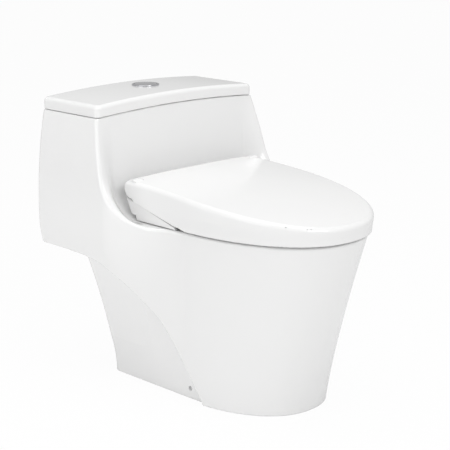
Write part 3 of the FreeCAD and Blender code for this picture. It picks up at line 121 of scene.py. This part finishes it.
def round_plan(x, y, half, tip, station):
    """Plan form with a round front and straight sides behind its widest station."""
    ahead = np.maximum(-y - station, 0) / (tip - station)
    aside = np.abs(x) / half
    reach = np.maximum((ahead ** FULLNESS + aside ** FULLNESS) ** (1 / FULLNESS), 1e-3)
    across = (aside / reach) ** (FULLNESS - 1) / half
    along = (ahead / reach) ** (FULLNESS - 1) / (tip - station)
    return (reach - 1) / np.maximum(np.hypot(across, along), 1e-4)


def slot_plan(x, y, half, front, back):
    """Plan form with two half-round ends."""
    middle, run = (front + back) / 2, (back - front) / 2 - half
    return np.hypot(x, np.maximum(np.abs(y - middle) - run, 0)) - half


def disc(x, y, radius, at=(0.0, 0.0)):
    """An upright round column."""
    return np.hypot(x - at[0], y - at[1]) - radius


def slab(value, low, high):
    """What lies between two parallel faces."""
    return np.maximum(low - value, value - high)


# ------------------------------------------------------------------ the china body
def bowl_half(z):
    """Half-width of the bowl's outside."""
    return FOOT_HALF + BOWL_FLARE * (np.clip(z, 0, 400) / DECK) ** 1.6


def bowl_tip(z):
    """How far the bowl's outside reaches forwards."""
    return FOOT_TIP + BOWL_REACH * (np.clip(z, 0, 400) / DECK) ** 1.2


def widest(z):
    """Place of the bowl's widest section, measured forwards."""
    return 63 + 41 * z / DECK


def tank_half(z):
    """Half-width of the tank and of the skirt below it."""
    low = FOOT_HALF + (BELLY_HALF - FOOT_HALF) * ramp(z / BELLY_Z)
    high = BELLY_HALF - TANK_TAPER * (np.clip(z - BELLY_Z, 0, 300) / TAPER_RUN) ** 2.2
    return np.where(z < BELLY_Z, low, high)


def hull(x, y, z):
    """The outer form as if it stood full from the floor to the tank's top."""
    station, half, rear = widest(z), bowl_half(z), tank_half(z)
    share = (y + station) / (SIDE_JOIN + station)
    swell = half + (rear - half) * ramp(share)
    slope = (rear - half) * steepness(share, SIDE_JOIN + station)
    sides = (np.abs(x) - swell) / np.sqrt(1 + slope * slope)
    front = round_plan(x, y, half, bowl_tip(z), station)
    return np.where(y < -station, front, sides)


def cove(y, z, radius, start):
    """How far a point lies in front of a tank face that rises from a hollow corner."""
    out, up = y - start, z - DECK - radius
    reach_y, reach_z = TANK_FRONT - start, SEAM - DECK - radius
    last = math.atan2(reach_z, reach_y) - math.acos(radius / math.hypot(reach_y, reach_z))
    turn = np.arctan2(up, out)
    turn = np.where(turn < -math.pi / 2, np.where(up > -radius / 2, last, -math.pi / 2), turn)
    turn = np.minimum(turn, last)
    return radius - out * np.cos(turn) - up * np.sin(turn)


def open_front(x, y, z):
    """The air above the deck: the wings swing forwards on both sides of a recess."""
    share = 1 - ramp((np.abs(x) - WING_INNER) / WING_RUN)
    wing = cove(y, z, WING_COVE, WING_START)
    recess = cove(y, z, RECESS_COVE, RECESS_START)
    return wing + (recess - wing) * share


# Places (y, z) on the arched edge between the front shell and the recessed foot.
CREST_KNOTS = ((-150, -60), (-118, 2), (-90, 47), (-59, 94), (-36, 132), (-17, 172), (10, 214),
               (34, 250), (81, 287), (133, 300), (181, 303), (400, 303))


def smooth_line(knots, count=200):
    """Closely spaced points on an even curve through a few places."""
    places = np.array(knots, float)
    spots, out = np.linspace(places[0, 0], places[-1, 0], count), []
    slopes = np.gradient(places[:, 1], places[:, 0])
    for spot in spots:
        i = min(max(int(np.searchsorted(places[:, 0], spot)) - 1, 0), len(places) - 2)
        (y0, z0), (y1, z1) = places[i], places[i + 1]
        t, run = (spot - y0) / (y1 - y0), y1 - y0
        out.append((1 + 2 * t) * (1 - t) ** 2 * z0 + t * (1 - t) ** 2 * run * slopes[i]
                   + t * t * (3 - 2 * t) * z1 + t * t * (t - 1) * run * slopes[i + 1])
    return spots, np.array(out)


CREST_Y, CREST_Z = smooth_line(CREST_KNOTS)


def crest(y):
    """Height of the arched edge."""
    return np.interp(y, CREST_Y, CREST_Z)


def below_crest(y, z):
    """How far a point lies below the arched edge."""
    slope = (crest(y + 1.0) - crest(y - 1.0)) / 2
    return (crest(y) - z) / np.sqrt(1 + slope * slope)


def pedestal(x, y, z, inset=0.0):
    """The recessed rear of the base, which the tank overhangs."""
    station, half = widest(z), bowl_half(z)
    share = (y + station) / (SIDE_JOIN + station)
    swell = half + (tank_half(z) - half) * ramp(share) - STEP
    flare = HEEL_HALF + HEEL_FLARE * (np.clip(z, 0, HEEL_TOP) / HEEL_TOP) ** 1.36
    sides = np.abs(x) - np.minimum(swell, flare)
    front = round_plan(x, y, half, bowl_tip(z), station) + STEP
    walls = np.where(y < -station, front, sides)
    return both(walls, y - HEEL_BACK, 20.0) + inset


def bowl(x, y, z, wall=0.0):
    """The bowl's inside, from its mouth to the sump."""
    depth = np.clip((z - SUMP_FLOOR) / BOWL_DEPTH, 0, 1)
    half = SUMP_HALF + MOUTH_GAIN * (1 - (1 - depth) ** 1.45) + wall
    sides = np.hypot(x, np.maximum(np.abs(y - BOWL_MIDDLE) - BOWL_RUN, 0)) - half
    return both(sides * 0.9, SUMP_FLOOR - wall - z, 25.0)


def capsule(x, y, z, start, end, radius):
    """A round-ended bar in the middle plane between two (y, z) places."""
    run_y, run_z = end[0] - start[0], end[1] - start[1]
    t = ((y - start[0]) * run_y + (z - start[1]) * run_z) / (run_y ** 2 + run_z ** 2)
    t = np.clip(t, 0, 1)
    return np.sqrt(x ** 2 + (y - start[0] - t * run_y) ** 2
                   + (z - start[1] - t * run_z) ** 2) - radius


def arch(x):
    """Share of the full rise that the arch of the tank's top has at x."""
    return 1 - (x / 235) ** 2


def china_outside(x, y, z):
    """Bowl, wings and tank as one shell over the recessed foot, with soft edges."""
    outer = both(hull(x, y, z), y - BACK, 12.0)
    outer = both(outer, open_front(x, y, z), 7.0)
    outer = both(outer, z - SEAM - SEAM_RISE * arch(x), 3.0)
    outer = both(outer, below_crest(y, z), 3.5)
    foot = both(pedestal(x, y, z), z - 320, 2.0)
    return both(either(outer, foot, 3.0), -z, 2.0)


def throat(x, y, z):
    """The way from the sump up into the trapway."""
    return either(capsule(x, y, z, (-160, 114), (-105, 114), 27),
                  capsule(x, y, z, (-105, 114), (40, 205), 27), 4.0)


def tank_room(x, y, z):
    """The tank's inside, open at the top."""
    front = 100 + 22 * (z - TANK_FLOOR) / 290
    room = both(np.abs(x) - tank_half(z) + TANK_WALL, slab(y, front, 279), 14.0)
    return both(room, TANK_FLOOR - z, 10.0)


def foot_hollow(x, y, z):
    """The hollow foot, less the bowl's lining, the trapway and the outlet in it."""
    web = np.maximum(np.abs(x) - 35, slab(y, -160, 129))
    lining = np.minimum(np.minimum(bowl(x, y, z, BOWL_WALL), web), disc(x, y, OUTLET_TOP))
    return np.maximum(both(pedestal(x, y, z, CHINA_WALL), z - 291, 6.0), -lining)


def china(x, y, z):
    """The china body in one: outside less bowl, throat, tank, foot, outlet and openings."""
    body = less(china_outside(x, y, z), bowl(x, y, z), 9.0)
    body = less(body, throat(x, y, z), 5.0)
    body = less(body, tank_room(x, y, z), 3.0)
    body = less(body, foot_hollow(x, y, z), 3.0)
    body = less(body, np.maximum(disc(x, y, OUTLET), z - OUTLET_TOP), 1.0)
    access = both(np.abs(x) - SERVICE_HALF, z - SERVICE_TOP, 14.0)
    body = less(body, np.maximum(access, slab(y, 165, 200)), 2.0)
    screw = np.maximum(np.hypot(y - SCREW_Y, z - SCREW_Z) - SCREW_HOLE, 110 - np.abs(x))
    return less(body, screw, 0.8)


# ------------------------------------------------------------------ the seat
# Places (y, z) on the lid's lower edge: level in front, then up along the seat unit.
LID_LOWER = ((-420, 390.0), (-112, 390.0), (-92, 394.6), (-80, 395.4), (42, 428.0), (48, 434.0),
             (80, 434.0))


def round_hinge(y, z, radius):
    """A round bar on the line that lid and ring turn about."""
    return np.hypot(y - HINGE_Y, z - HINGE_Z) - radius


def seat_lid(x, y, z):
    """The lid: a crowned shell with a round rear end and a boss for each hinge pin."""
    plan = round_plan(x, y, LID_HALF, LID_TIP, LID_STATION) - LID_LEAN * ramp((z - 391) / 34)
    top = z - CROWN_Z + ((y - CROWN_Y) ** 2 + x ** 2) / CROWN_SPAN
    round_back = round_hinge(y, z, LID_ROUND)
    edge = np.interp(y, [p[0] for p in LID_LOWER], [p[1] for p in LID_LOWER]) - z
    dome = both(plan, top, 10.0)
    outer = both(dome, np.where(y > HINGE_Y, round_back, np.minimum(edge, 40)), 1.0)
    back = np.where(z > HINGE_Z, round_back, y - HINGE_Y - LID_ROUND)
    inner = np.maximum(dome + LID_WALL, np.where(y > HINGE_Y, back + LID_WALL, -9))
    shell = less(outer, inner, 1.0)
    notch = np.maximum(slab(y, 58, 80), slab(z, 436, HINGE_Z - 0.5))
    across = slab(np.abs(x), ARM_INNER - ARM_PLAY, ARM_OUTER + ARM_PLAY)
    shell = less(shell, np.maximum(across, notch), 0.4)
    boss = np.maximum(round_hinge(y, z, 18.5), slab(np.abs(x), 164, 187.5))
    return np.minimum(shell, boss)


def ring_walls(x, y, inset=0.0):
    """Plan form of the seat ring."""
    plan = round_plan(x, y, RING_HALF, RING_TIP, RING_STATION)
    outer = both(plan, y + RING_BACK, RING_CORNER)
    hole = slot_plan(x, y, SEAT_HOLE_HALF, SEAT_HOLE_FRONT, SEAT_HOLE_BACK)
    return outer + inset, inset - hole


def seat_ring(x, y, z):
    """The ring with its softly sloped seat and the two arms that carry it."""
    outer, hole = ring_walls(x, y)
    ring = both(outer, z - RING_TOP, 9.0)
    ring = both(ring, hole, 1.5)
    ring = both(ring, 0.75 * (z - RING_TOP) + 0.66 * hole + 3.4, 5.0)
    ring = both(ring, RING_LOW - z, 1.5)
    along = np.clip((y + RING_BACK) / (HINGE_Y + RING_BACK), 0, 1)
    middle = 405 + (HINGE_Z - 405) * along
    arm = both(np.abs(z - middle) - ARM_HALF, slab(y, -74, HINGE_Y), 2.0)
    arm = np.minimum(arm, round_hinge(y, z, EYE))
    arm = both(arm, slab(np.abs(x), ARM_INNER, ARM_OUTER), 1.5)
    return either(ring, arm, 2.0)


def ring_underside(x, y, z):
    """The plate that closes the ring from below."""
    outer, hole = ring_walls(x, y, 4.5)
    return both(np.maximum(outer, hole), slab(z, 393.6, 396.5), 0.6)


# ------------------------------------------------------------------ the tank's lid and buttons
def tank_cover(x, y, z):
    """The tank's arched lid, hollow below, with a lip and a hole for the buttons."""
    plan = both(np.abs(x) - COVER_HALF, slab(y, COVER_FRONT, BACK), 12.0)
    cover = both(plan, z - COVER_TOP - COVER_CROWN * arch(x), 9.0)
    cover = both(cover, SEAM + 1 + SEAM_RISE * arch(x) - z, 2.5)
    room = both(both(np.abs(x) - 220, slab(y, 117, 280), 10.0), z - 624, 6.0)
    cover = less(cover, room, 2.0)
    rim = both(np.abs(x) - 211, slab(y, 125, 274), 8.0)
    lip = np.maximum(np.abs(rim + 2.6) - 2.6, slab(z, 596, 626))
    cover = np.minimum(cover, lip)
    return less(cover, disc(x, y, 28.0, (0, BUTTON_Y)), 0.6)


def bezel(x, y, z):
    """The cup that holds both buttons: collar, well and shank."""
    spot = (0, BUTTON_Y)
    collar = both(disc(x, y, BEZEL, spot), slab(z, BUTTON_Z - 0.4, BUTTON_Z + 3), 1.3)
    cup = np.maximum(disc(x, y, CUP, spot), slab(z, BUTTON_Z - 12, BUTTON_Z + 1))
    well = np.maximum(disc(x, y, WELL, spot), BUTTON_Z - 10 - z)
    shank = np.maximum(disc(x, y, SHANK, spot), slab(z, BUTTON_Z - 34, BUTTON_Z - 11))
    return np.minimum(less(np.minimum(collar, cup), well, 0.4), shank)


def button_half(x, y, z, sign):
    """One side of the domed button, to the left (1) or the right (-1) of the split."""
    top = BUTTON_Z + 3.7 - (x ** 2 + (y - BUTTON_Y) ** 2) / 900
    whole = both(disc(x, y, BUTTON, (0, BUTTON_Y)), z - top, 1.0)
    half = both(whole, sign * (x - BUTTON_SPLIT) + 0.4, 0.8)
    return np.maximum(half, BUTTON_Z - 3 - z)


def large_button(x, y, z):
    return button_half(x, y, z, 1)


def small_button(x, y, z):
    return button_half(x, y, z, -1)


# ------------------------------------------------------------------ meshes from the fields
LAYERS = 12   # layers of the grid that are worked out at once
SETTLING = 5  # steps that bring the mesh's points on to the form


def fill(field, spots):
    """The field's values on a grid, a few layers at a time."""
    x, y, z = spots
    layers = []
    for i in range(0, len(x), LAYERS):
        part = x[i:i + LAYERS]
        values = field(part[:, None, None], y[None, :, None], z[None, None, :])
        layers.append(values + np.zeros((len(part), len(y), len(z))))
    return np.concatenate(layers).astype(np.float32)


def lean(field, spots, reach=0.15):
    """Direction and steepness in which a field grows at given points."""
    rise = []
    for axis in range(3):
        step = np.zeros(3)
        step[axis] = reach
        ahead, behind = spots + step, spots - step
        rise.append((field(*ahead.T) - field(*behind.T)) / (2 * reach))
    return np.stack(rise, 1)


def skinned(name, field, low, high, step):
    """A closed mesh on the field's zero level, with exact smooth normals."""
    step = step * COARSE
    spots = [np.arange(a - 1.7 * step, b + 1.9 * step, step) for a, b in zip(low, high)]
    inside = fill(field, spots) < 0
    count = sum(inside[i:i - 1 or None, j:j - 1 or None, k:k - 1 or None].astype(np.int8)
                for i in (0, 1) for j in (0, 1) for k in (0, 1))
    mixed = (count > 0) & (count < 8)
    order = np.full(mixed.shape, -1, np.int64)
    order[mixed] = np.arange(mixed.sum())
    cells = np.argwhere(mixed)
    points = np.stack([spots[a][cells[:, a]] + step / 2 for a in range(3)], 1)
    for _ in range(SETTLING):
        grow = lean(field, points)
        size = np.maximum((grow ** 2).sum(1), 0.05)
        move = grow * (field(*points.T) / size)[:, None]
        length = np.linalg.norm(move, axis=1, keepdims=True)
        points = points - move * np.minimum(1, 0.9 * step / np.maximum(length, 1e-9))
    faces = []
    for axis in range(3):
        view = np.moveaxis(inside, axis, 0)
        cell = np.moveaxis(order, axis, 0)
        here, there = view[:-1, 1:-1, 1:-1], view[1:, 1:-1, 1:-1]
        for leaving in (True, False):
            i, j, k = np.nonzero((here != there) & (here == leaving))
            loop = [cell[i, j, k], cell[i, j + 1, k], cell[i, j + 1, k + 1], cell[i, j, k + 1]]
            flip = leaving != (axis == 1)
            faces.append(np.stack(loop if flip else loop[::-1], 1))
    mesh = bpy.data.meshes.new(name)
    mesh.from_pydata(points / 1000, [], np.concatenate(faces))
    mesh.validate()
    mesh.shade_smooth()
    normals = lean(field, points)
    normals /= np.maximum(np.linalg.norm(normals, axis=1, keepdims=True), 1e-9)
    if len(mesh.vertices) == len(normals):
        mesh.normals_split_custom_set_from_vertices(normals)
    thing = bpy.data.objects.new(name, mesh)
    bpy.context.scene.collection.objects.link(thing)
    return thing


def lathe(name, outline, at, sides=72):
    """A piece turned about an upright axis from (radius, height) corners in millimetres."""
    rings, faces = len(outline), []
    turns = np.linspace(0, 2 * math.pi, sides, endpoint=False)
    verts = [((at[0] + r * math.cos(t)) / 1000, (at[1] + r * math.sin(t)) / 1000, (at[2] + h) / 1000)
             for r, h in outline for t in turns]
    for i in range(rings):
        for k in range(sides):
            a, b = i * sides, ((i + 1) % rings) * sides
            faces.append((a + k, a + (k + 1) % sides, b + (k + 1) % sides, b + k))
    mesh = bpy.data.meshes.new(name)
    mesh.from_pydata(verts, [], faces)
    thing = bpy.data.objects.new(name, mesh)
    bpy.context.scene.collection.objects.link(thing)
    bevel = thing.modifiers.new("soft edges", "BEVEL")
    bevel.width, bevel.segments, bevel.limit_method = 0.0006, 2, "ANGLE"
    mesh.shade_smooth()
    return thing


# ------------------------------------------------------------------ finishes
def effect_group(name, inputs, outputs):
    """An empty node group with named inputs and outputs."""
    group = bpy.data.node_groups.new(name, "ShaderNodeTree")
    for label, kind, value in inputs:
        socket = group.interface.new_socket(name=label, in_out="INPUT", socket_type=kind)
        socket.default_value = value
    for label, kind in outputs:
        group.interface.new_socket(name=label, in_out="OUTPUT", socket_type=kind)
    return group, group.nodes.new("NodeGroupInput"), group.nodes.new("NodeGroupOutput")


def clouded_surface():
    """Faint clouding of tone, gloss and level, as a fired glaze or a moulding has."""
    group, start, end = effect_group(
        "clouded_surface",
        [("Tone", "NodeSocketColor", (1, 1, 1, 1)), ("Shade", "NodeSocketColor", (0.9, 0.9, 0.9, 1)),
         ("Scale", "NodeSocketFloat", 6.0), ("Gloss low", "NodeSocketFloat", 0.05),
         ("Gloss high", "NodeSocketFloat", 0.1), ("Grain scale", "NodeSocketFloat", 300.0)],
        [("Tone", "NodeSocketColor"), ("Roughness", "NodeSocketFloat"),
         ("Height", "NodeSocketFloat")])
    nodes, links = group.nodes, group.links
    place = nodes.new("ShaderNodeTexCoord")
    cloud = nodes.new("ShaderNodeTexNoise")
    cloud.inputs["Detail"].default_value = 3.0
    grain = nodes.new("ShaderNodeTexNoise")
    grain.inputs["Detail"].default_value = 2.0
    links.new(place.outputs["Object"], cloud.inputs["Vector"])
    links.new(place.outputs["Object"], grain.inputs["Vector"])
    links.new(start.outputs["Scale"], cloud.inputs["Scale"])
    links.new(start.outputs["Grain scale"], grain.inputs["Scale"])
    tone = nodes.new("ShaderNodeMix")
    tone.data_type = "RGBA"
    links.new(cloud.outputs["Fac"], tone.inputs["Factor"])
    links.new(start.outputs["Tone"], tone.inputs[6])
    links.new(start.outputs["Shade"], tone.inputs[7])
    gloss = nodes.new("ShaderNodeMapRange")
    links.new(cloud.outputs["Fac"], gloss.inputs["Value"])
    links.new(start.outputs["Gloss low"], gloss.inputs["To Min"])
    links.new(start.outputs["Gloss high"], gloss.inputs["To Max"])
    links.new(tone.outputs[2], end.inputs["Tone"])
    links.new(gloss.outputs["Result"], end.inputs["Roughness"])
    links.new(grain.outputs["Fac"], end.inputs["Height"])
    return group


CLOUDED = clouded_surface()


def finish(name, tone, shade, gloss, scale, grain, relief, metallic=0.0, coat=0.0):
    """A finish from the clouded surface, with its own values."""
    material = bpy.data.materials.new(name)
    material.use_nodes = True
    nodes, links = material.node_tree.nodes, material.node_tree.links
    shader = nodes["Principled BSDF"]
    effect = nodes.new("ShaderNodeGroup")
    effect.node_tree = CLOUDED
    effect.inputs["Tone"].default_value = (*tone, 1)
    effect.inputs["Shade"].default_value = (*shade, 1)
    effect.inputs["Scale"].default_value = scale
    effect.inputs["Gloss low"].default_value, effect.inputs["Gloss high"].default_value = gloss
    effect.inputs["Grain scale"].default_value = grain
    bump = nodes.new("ShaderNodeBump")
    bump.inputs["Strength"].default_value = relief
    bump.inputs["Distance"].default_value = 0.0005
    links.new(effect.outputs["Tone"], shader.inputs["Base Color"])
    links.new(effect.outputs["Roughness"], shader.inputs["Roughness"])
    links.new(effect.outputs["Height"], bump.inputs["Height"])
    links.new(bump.outputs["Normal"], shader.inputs["Normal"])
    shader.inputs["Metallic"].default_value = metallic
    shader.inputs["Coat Weight"].default_value = coat
    shader.inputs["Coat Roughness"].default_value = 0.03
    shader.inputs["IOR"].default_value = 1.5
    return material


FINISHES = {
    "glazed_china": finish("glazed_china", (0.87, 0.87, 0.868), (0.85, 0.85, 0.848), (0.05, 0.09),
                           2.5, 40.0, 0.03, coat=0.3),
    "white_plastic": finish("white_plastic", (0.86, 0.86, 0.855), (0.84, 0.84, 0.84), (0.10, 0.15),
                            4.0, 500.0, 0.02),
    "grey_plastic": finish("grey_plastic", (0.30, 0.31, 0.32), (0.25, 0.26, 0.27), (0.38, 0.5),
                           14.0, 900.0, 0.15),
    "valve_plastic": finish("valve_plastic", (0.70, 0.71, 0.71), (0.62, 0.63, 0.63), (0.3, 0.42),
                            12.0, 700.0, 0.12),
    "chrome": finish("chrome", (0.60, 0.60, 0.62), (0.50, 0.50, 0.52), (0.05, 0.11), 30.0, 600.0,
                     0.02, metallic=1.0),
    "steel": finish("steel", (0.55, 0.55, 0.55), (0.46, 0.46, 0.47), (0.25, 0.4), 40.0, 900.0, 0.1,
                    metallic=1.0),
    "brass": finish("brass", (0.72, 0.56, 0.28), (0.6, 0.44, 0.2), (0.22, 0.35), 40.0, 700.0, 0.1,
                    metallic=1.0),
    "rubber": finish("rubber", (0.045, 0.045, 0.047), (0.03, 0.03, 0.031), (0.55, 0.75), 20.0,
                     900.0, 0.3),
    "heating_foil": finish("heating_foil", (0.75, 0.75, 0.76), (0.62, 0.62, 0.63), (0.3, 0.5),
                           60.0, 400.0, 0.3, metallic=1.0),
}

slots = {part["node"]: part["material_slot"] for part in frame["record"]["subparts"]}
for node, solid in frame["nodes"].items():
    solid.data.materials.clear()
    solid.data.materials.append(FINISHES[slots[node]])


def dress(thing, body, slot, *nodes):
    """Gives a piece its finish, its body and the frame nodes that it stands for."""
    thing.data.materials.append(FINISHES[slot])
    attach(thing, body)
    if nodes:
        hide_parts(*nodes)
    return thing


dress(skinned("china_skin", china, (-260, -400, 0), (260, 294, 613), 3.0),
      "base", "glazed_china", "china_body")
dress(skinned("seat_lid_shell", seat_lid, (-190, -406, 389), (190, 71, 480), 2.2),
      "seat_lid", "white_plastic", "seat_lid")
dress(skinned("seat_ring_top_half", seat_ring, (-179, -398, 393), (179, 61, 469), 2.5),
      "seat_ring", "white_plastic", "seat_ring_top")
dress(skinned("seat_ring_lower_half", ring_underside, (-175, -394, 393), (175, -70, 397), 1.5),
      "seat_ring", "white_plastic", "seat_ring_bottom")
dress(skinned("tank_cover", tank_cover, (-234, 103, 595), (234, 294, 641), 2.4),
      "tank_lid", "glazed_china", "tank_lid")
dress(skinned("button_bezel", bezel, (-32, 182, 605), (32, 246, 644), 0.8),
      "tank_lid", "chrome", "button_housing")
dress(skinned("flush_button_large", large_button, (-27, 187, 636), (10, 241, 645), 0.7),
      "button_large", "chrome", "button_large")
dress(skinned("flush_button_small", small_button, (8, 187, 636), (27, 241, 645), 0.7),
      "button_small", "chrome", "button_small")

# Round pieces of the flushing set, which show when the tank's lid is off. Each has its name,
# the node that it stands for, its body, its finish, its place and its (radius, height) outline.
FLUSH, SUPPLY = (0, 158, 332), (-165, 232, 332)
TURNED = (
    ("overflow_tower", "flush_valve_tower", "base", "valve_plastic", FLUSH,
     ((37.5, 8), (40, 8), (40, 96), (24, 100), (24, 220), (21.5, 220), (21.5, 98), (37.5, 93))),
    ("valve_seat", "flush_valve_base", "base", "valve_plastic", FLUSH,
     ((25, -10), (28.5, -10), (28.5, 0), (46, 0), (46, 8), (25, 8))),
    ("overflow_pipe", "flush_plunger", "flush_plunger", "valve_plastic", FLUSH,
     ((11, 14), (13, 14), (13, 188), (11, 188))),
    ("valve_seal", "flush_seal", "flush_plunger", "rubber", FLUSH,
     ((11, 8), (33, 8), (33, 14), (11, 14))),
    ("fill_column", "fill_valve_column", "base", "valve_plastic", SUPPLY,
     ((2, -55), (10.2, -55), (10.2, -38), (9.7, -38), (9.7, 0), (17.2, 0), (17.2, 8), (13, 8),
      (13, 204), (2, 204))),
    ("fill_cap", "fill_valve_cap", "base", "valve_plastic", (-165, 232, 536),
     ((2, 0), (22, 0), (22, 12), (19, 15), (2, 15))),
    ("fill_float", "fill_valve_float", "fill_float", "valve_plastic", (-165, 232, 505),
     ((13.1, -66), (26, -66), (26, -2), (24, 0), (13.1, 0))),
)
for name, node, body, slot, at, outline in TURNED:
    dress(lathe(name, outline, at), body, slot, node)

# ------------------------------------------------------------------ floor, light and camera
SPAN = 9  # metres from the middle of the floor to its edges
floor_mesh = bpy.data.meshes.new("floor")
floor_mesh.from_pydata([(-SPAN, -SPAN, 0), (SPAN, -SPAN, 0), (SPAN, SPAN, 0), (-SPAN, SPAN, 0)],
                       [], [(0, 1, 2, 3)])
floor = bpy.data.objects.new("floor", floor_mesh)
bpy.context.scene.collection.objects.link(floor)


def pale_to_camera(tree, plain, share):
    """Mixes a plain shader with white light that only the camera and clear views see."""
    path = tree.nodes.new("ShaderNodeLightPath")
    seen = tree.nodes.new("ShaderNodeMath")
    seen.operation = "MAXIMUM"
    tree.links.new(path.outputs["Is Camera Ray"], seen.inputs[0])
    tree.links.new(path.outputs["Is Transmission Ray"], seen.inputs[1])
    part = tree.nodes.new("ShaderNodeMath")
    part.operation = "MULTIPLY"
    part.inputs[1].default_value = share
    tree.links.new(seen.outputs[0], part.inputs[0])
    mix = tree.nodes.new("ShaderNodeMixShader")
    tree.links.new(part.outputs[0], mix.inputs[0])
    tree.links.new(plain.outputs[0], mix.inputs[1])
    return mix


floor_finish = bpy.data.materials.new("pale_floor")
floor_finish.use_nodes = True
floor_tree = floor_finish.node_tree
matt = floor_tree.nodes["Principled BSDF"]
matt.inputs["Base Color"].default_value = (0.86, 0.86, 0.86, 1)
matt.inputs["Roughness"].default_value = 0.9
glow = floor_tree.nodes.new("ShaderNodeEmission")
floor_mix = pale_to_camera(floor_tree, matt, 0.95)
floor_tree.links.new(glow.outputs[0], floor_mix.inputs[2])
floor_tree.links.new(floor_mix.outputs[0], floor_tree.nodes["Material Output"].inputs["Surface"])
floor_mesh.materials.append(floor_finish)

world = bpy.data.worlds.new("studio")
bpy.context.scene.world = world
world.use_nodes = True
room_light = world.node_tree.nodes["Background"]
room_light.inputs["Color"].default_value = (1, 1, 1, 1)
room_light.inputs["Strength"].default_value = 0.55
sky = world.node_tree.nodes.new("ShaderNodeBackground")
world_mix = pale_to_camera(world.node_tree, room_light, 1.0)
world.node_tree.links.new(sky.outputs[0], world_mix.inputs[2])
world.node_tree.links.new(world_mix.outputs[0],
                          world.node_tree.nodes["World Output"].inputs["Surface"])

# Each lamp has its name, place, aim, width and height in metres, and power in watts.
LAMPS = (
    ("left_window", (-2.7, -0.2, 1.3), (0, 0, 0.3), (1.6, 2.0), 12.5),
    ("front_panel", (-0.3, -2.6, 2.4), (0, 0.1, 0.6), (1.6, 1.2), 33.0),
    ("top_panel", (-0.1, 0.1, 3.0), (0, 0, 0.3), (2.2, 2.2), 27.0),
    ("low_panel", (-2.4, 1.0, 0.5), (0, 0.05, 0.15), (1.2, 0.8), 5.5),
)
for name, spot, aim, (wide, tall), power in LAMPS:
    lamp = bpy.data.lights.new(name, "AREA")
    lamp.shape, lamp.size, lamp.size_y, lamp.energy = "RECTANGLE", wide, tall, power
    holder = bpy.data.objects.new(name, lamp)
    holder.location = spot
    holder.rotation_euler = (Vector(aim) - Vector(spot)).to_track_quat("-Z", "Y").to_euler()
    bpy.context.scene.collection.objects.link(holder)

lens = bpy.data.cameras.new("camera")
lens.lens, lens.sensor_width = 106.96, 36.0
camera = bpy.data.objects.new("camera", lens)
camera.location = (-2.005, -2.046, 1.087)
camera.rotation_euler = Vector((0.685, 0.685, -0.249)).to_track_quat("-Z", "Y").to_euler()
bpy.context.scene.collection.objects.link(camera)
bpy.context.scene.camera = camera
bpy.context.scene.view_settings.view_transform = "Standard"
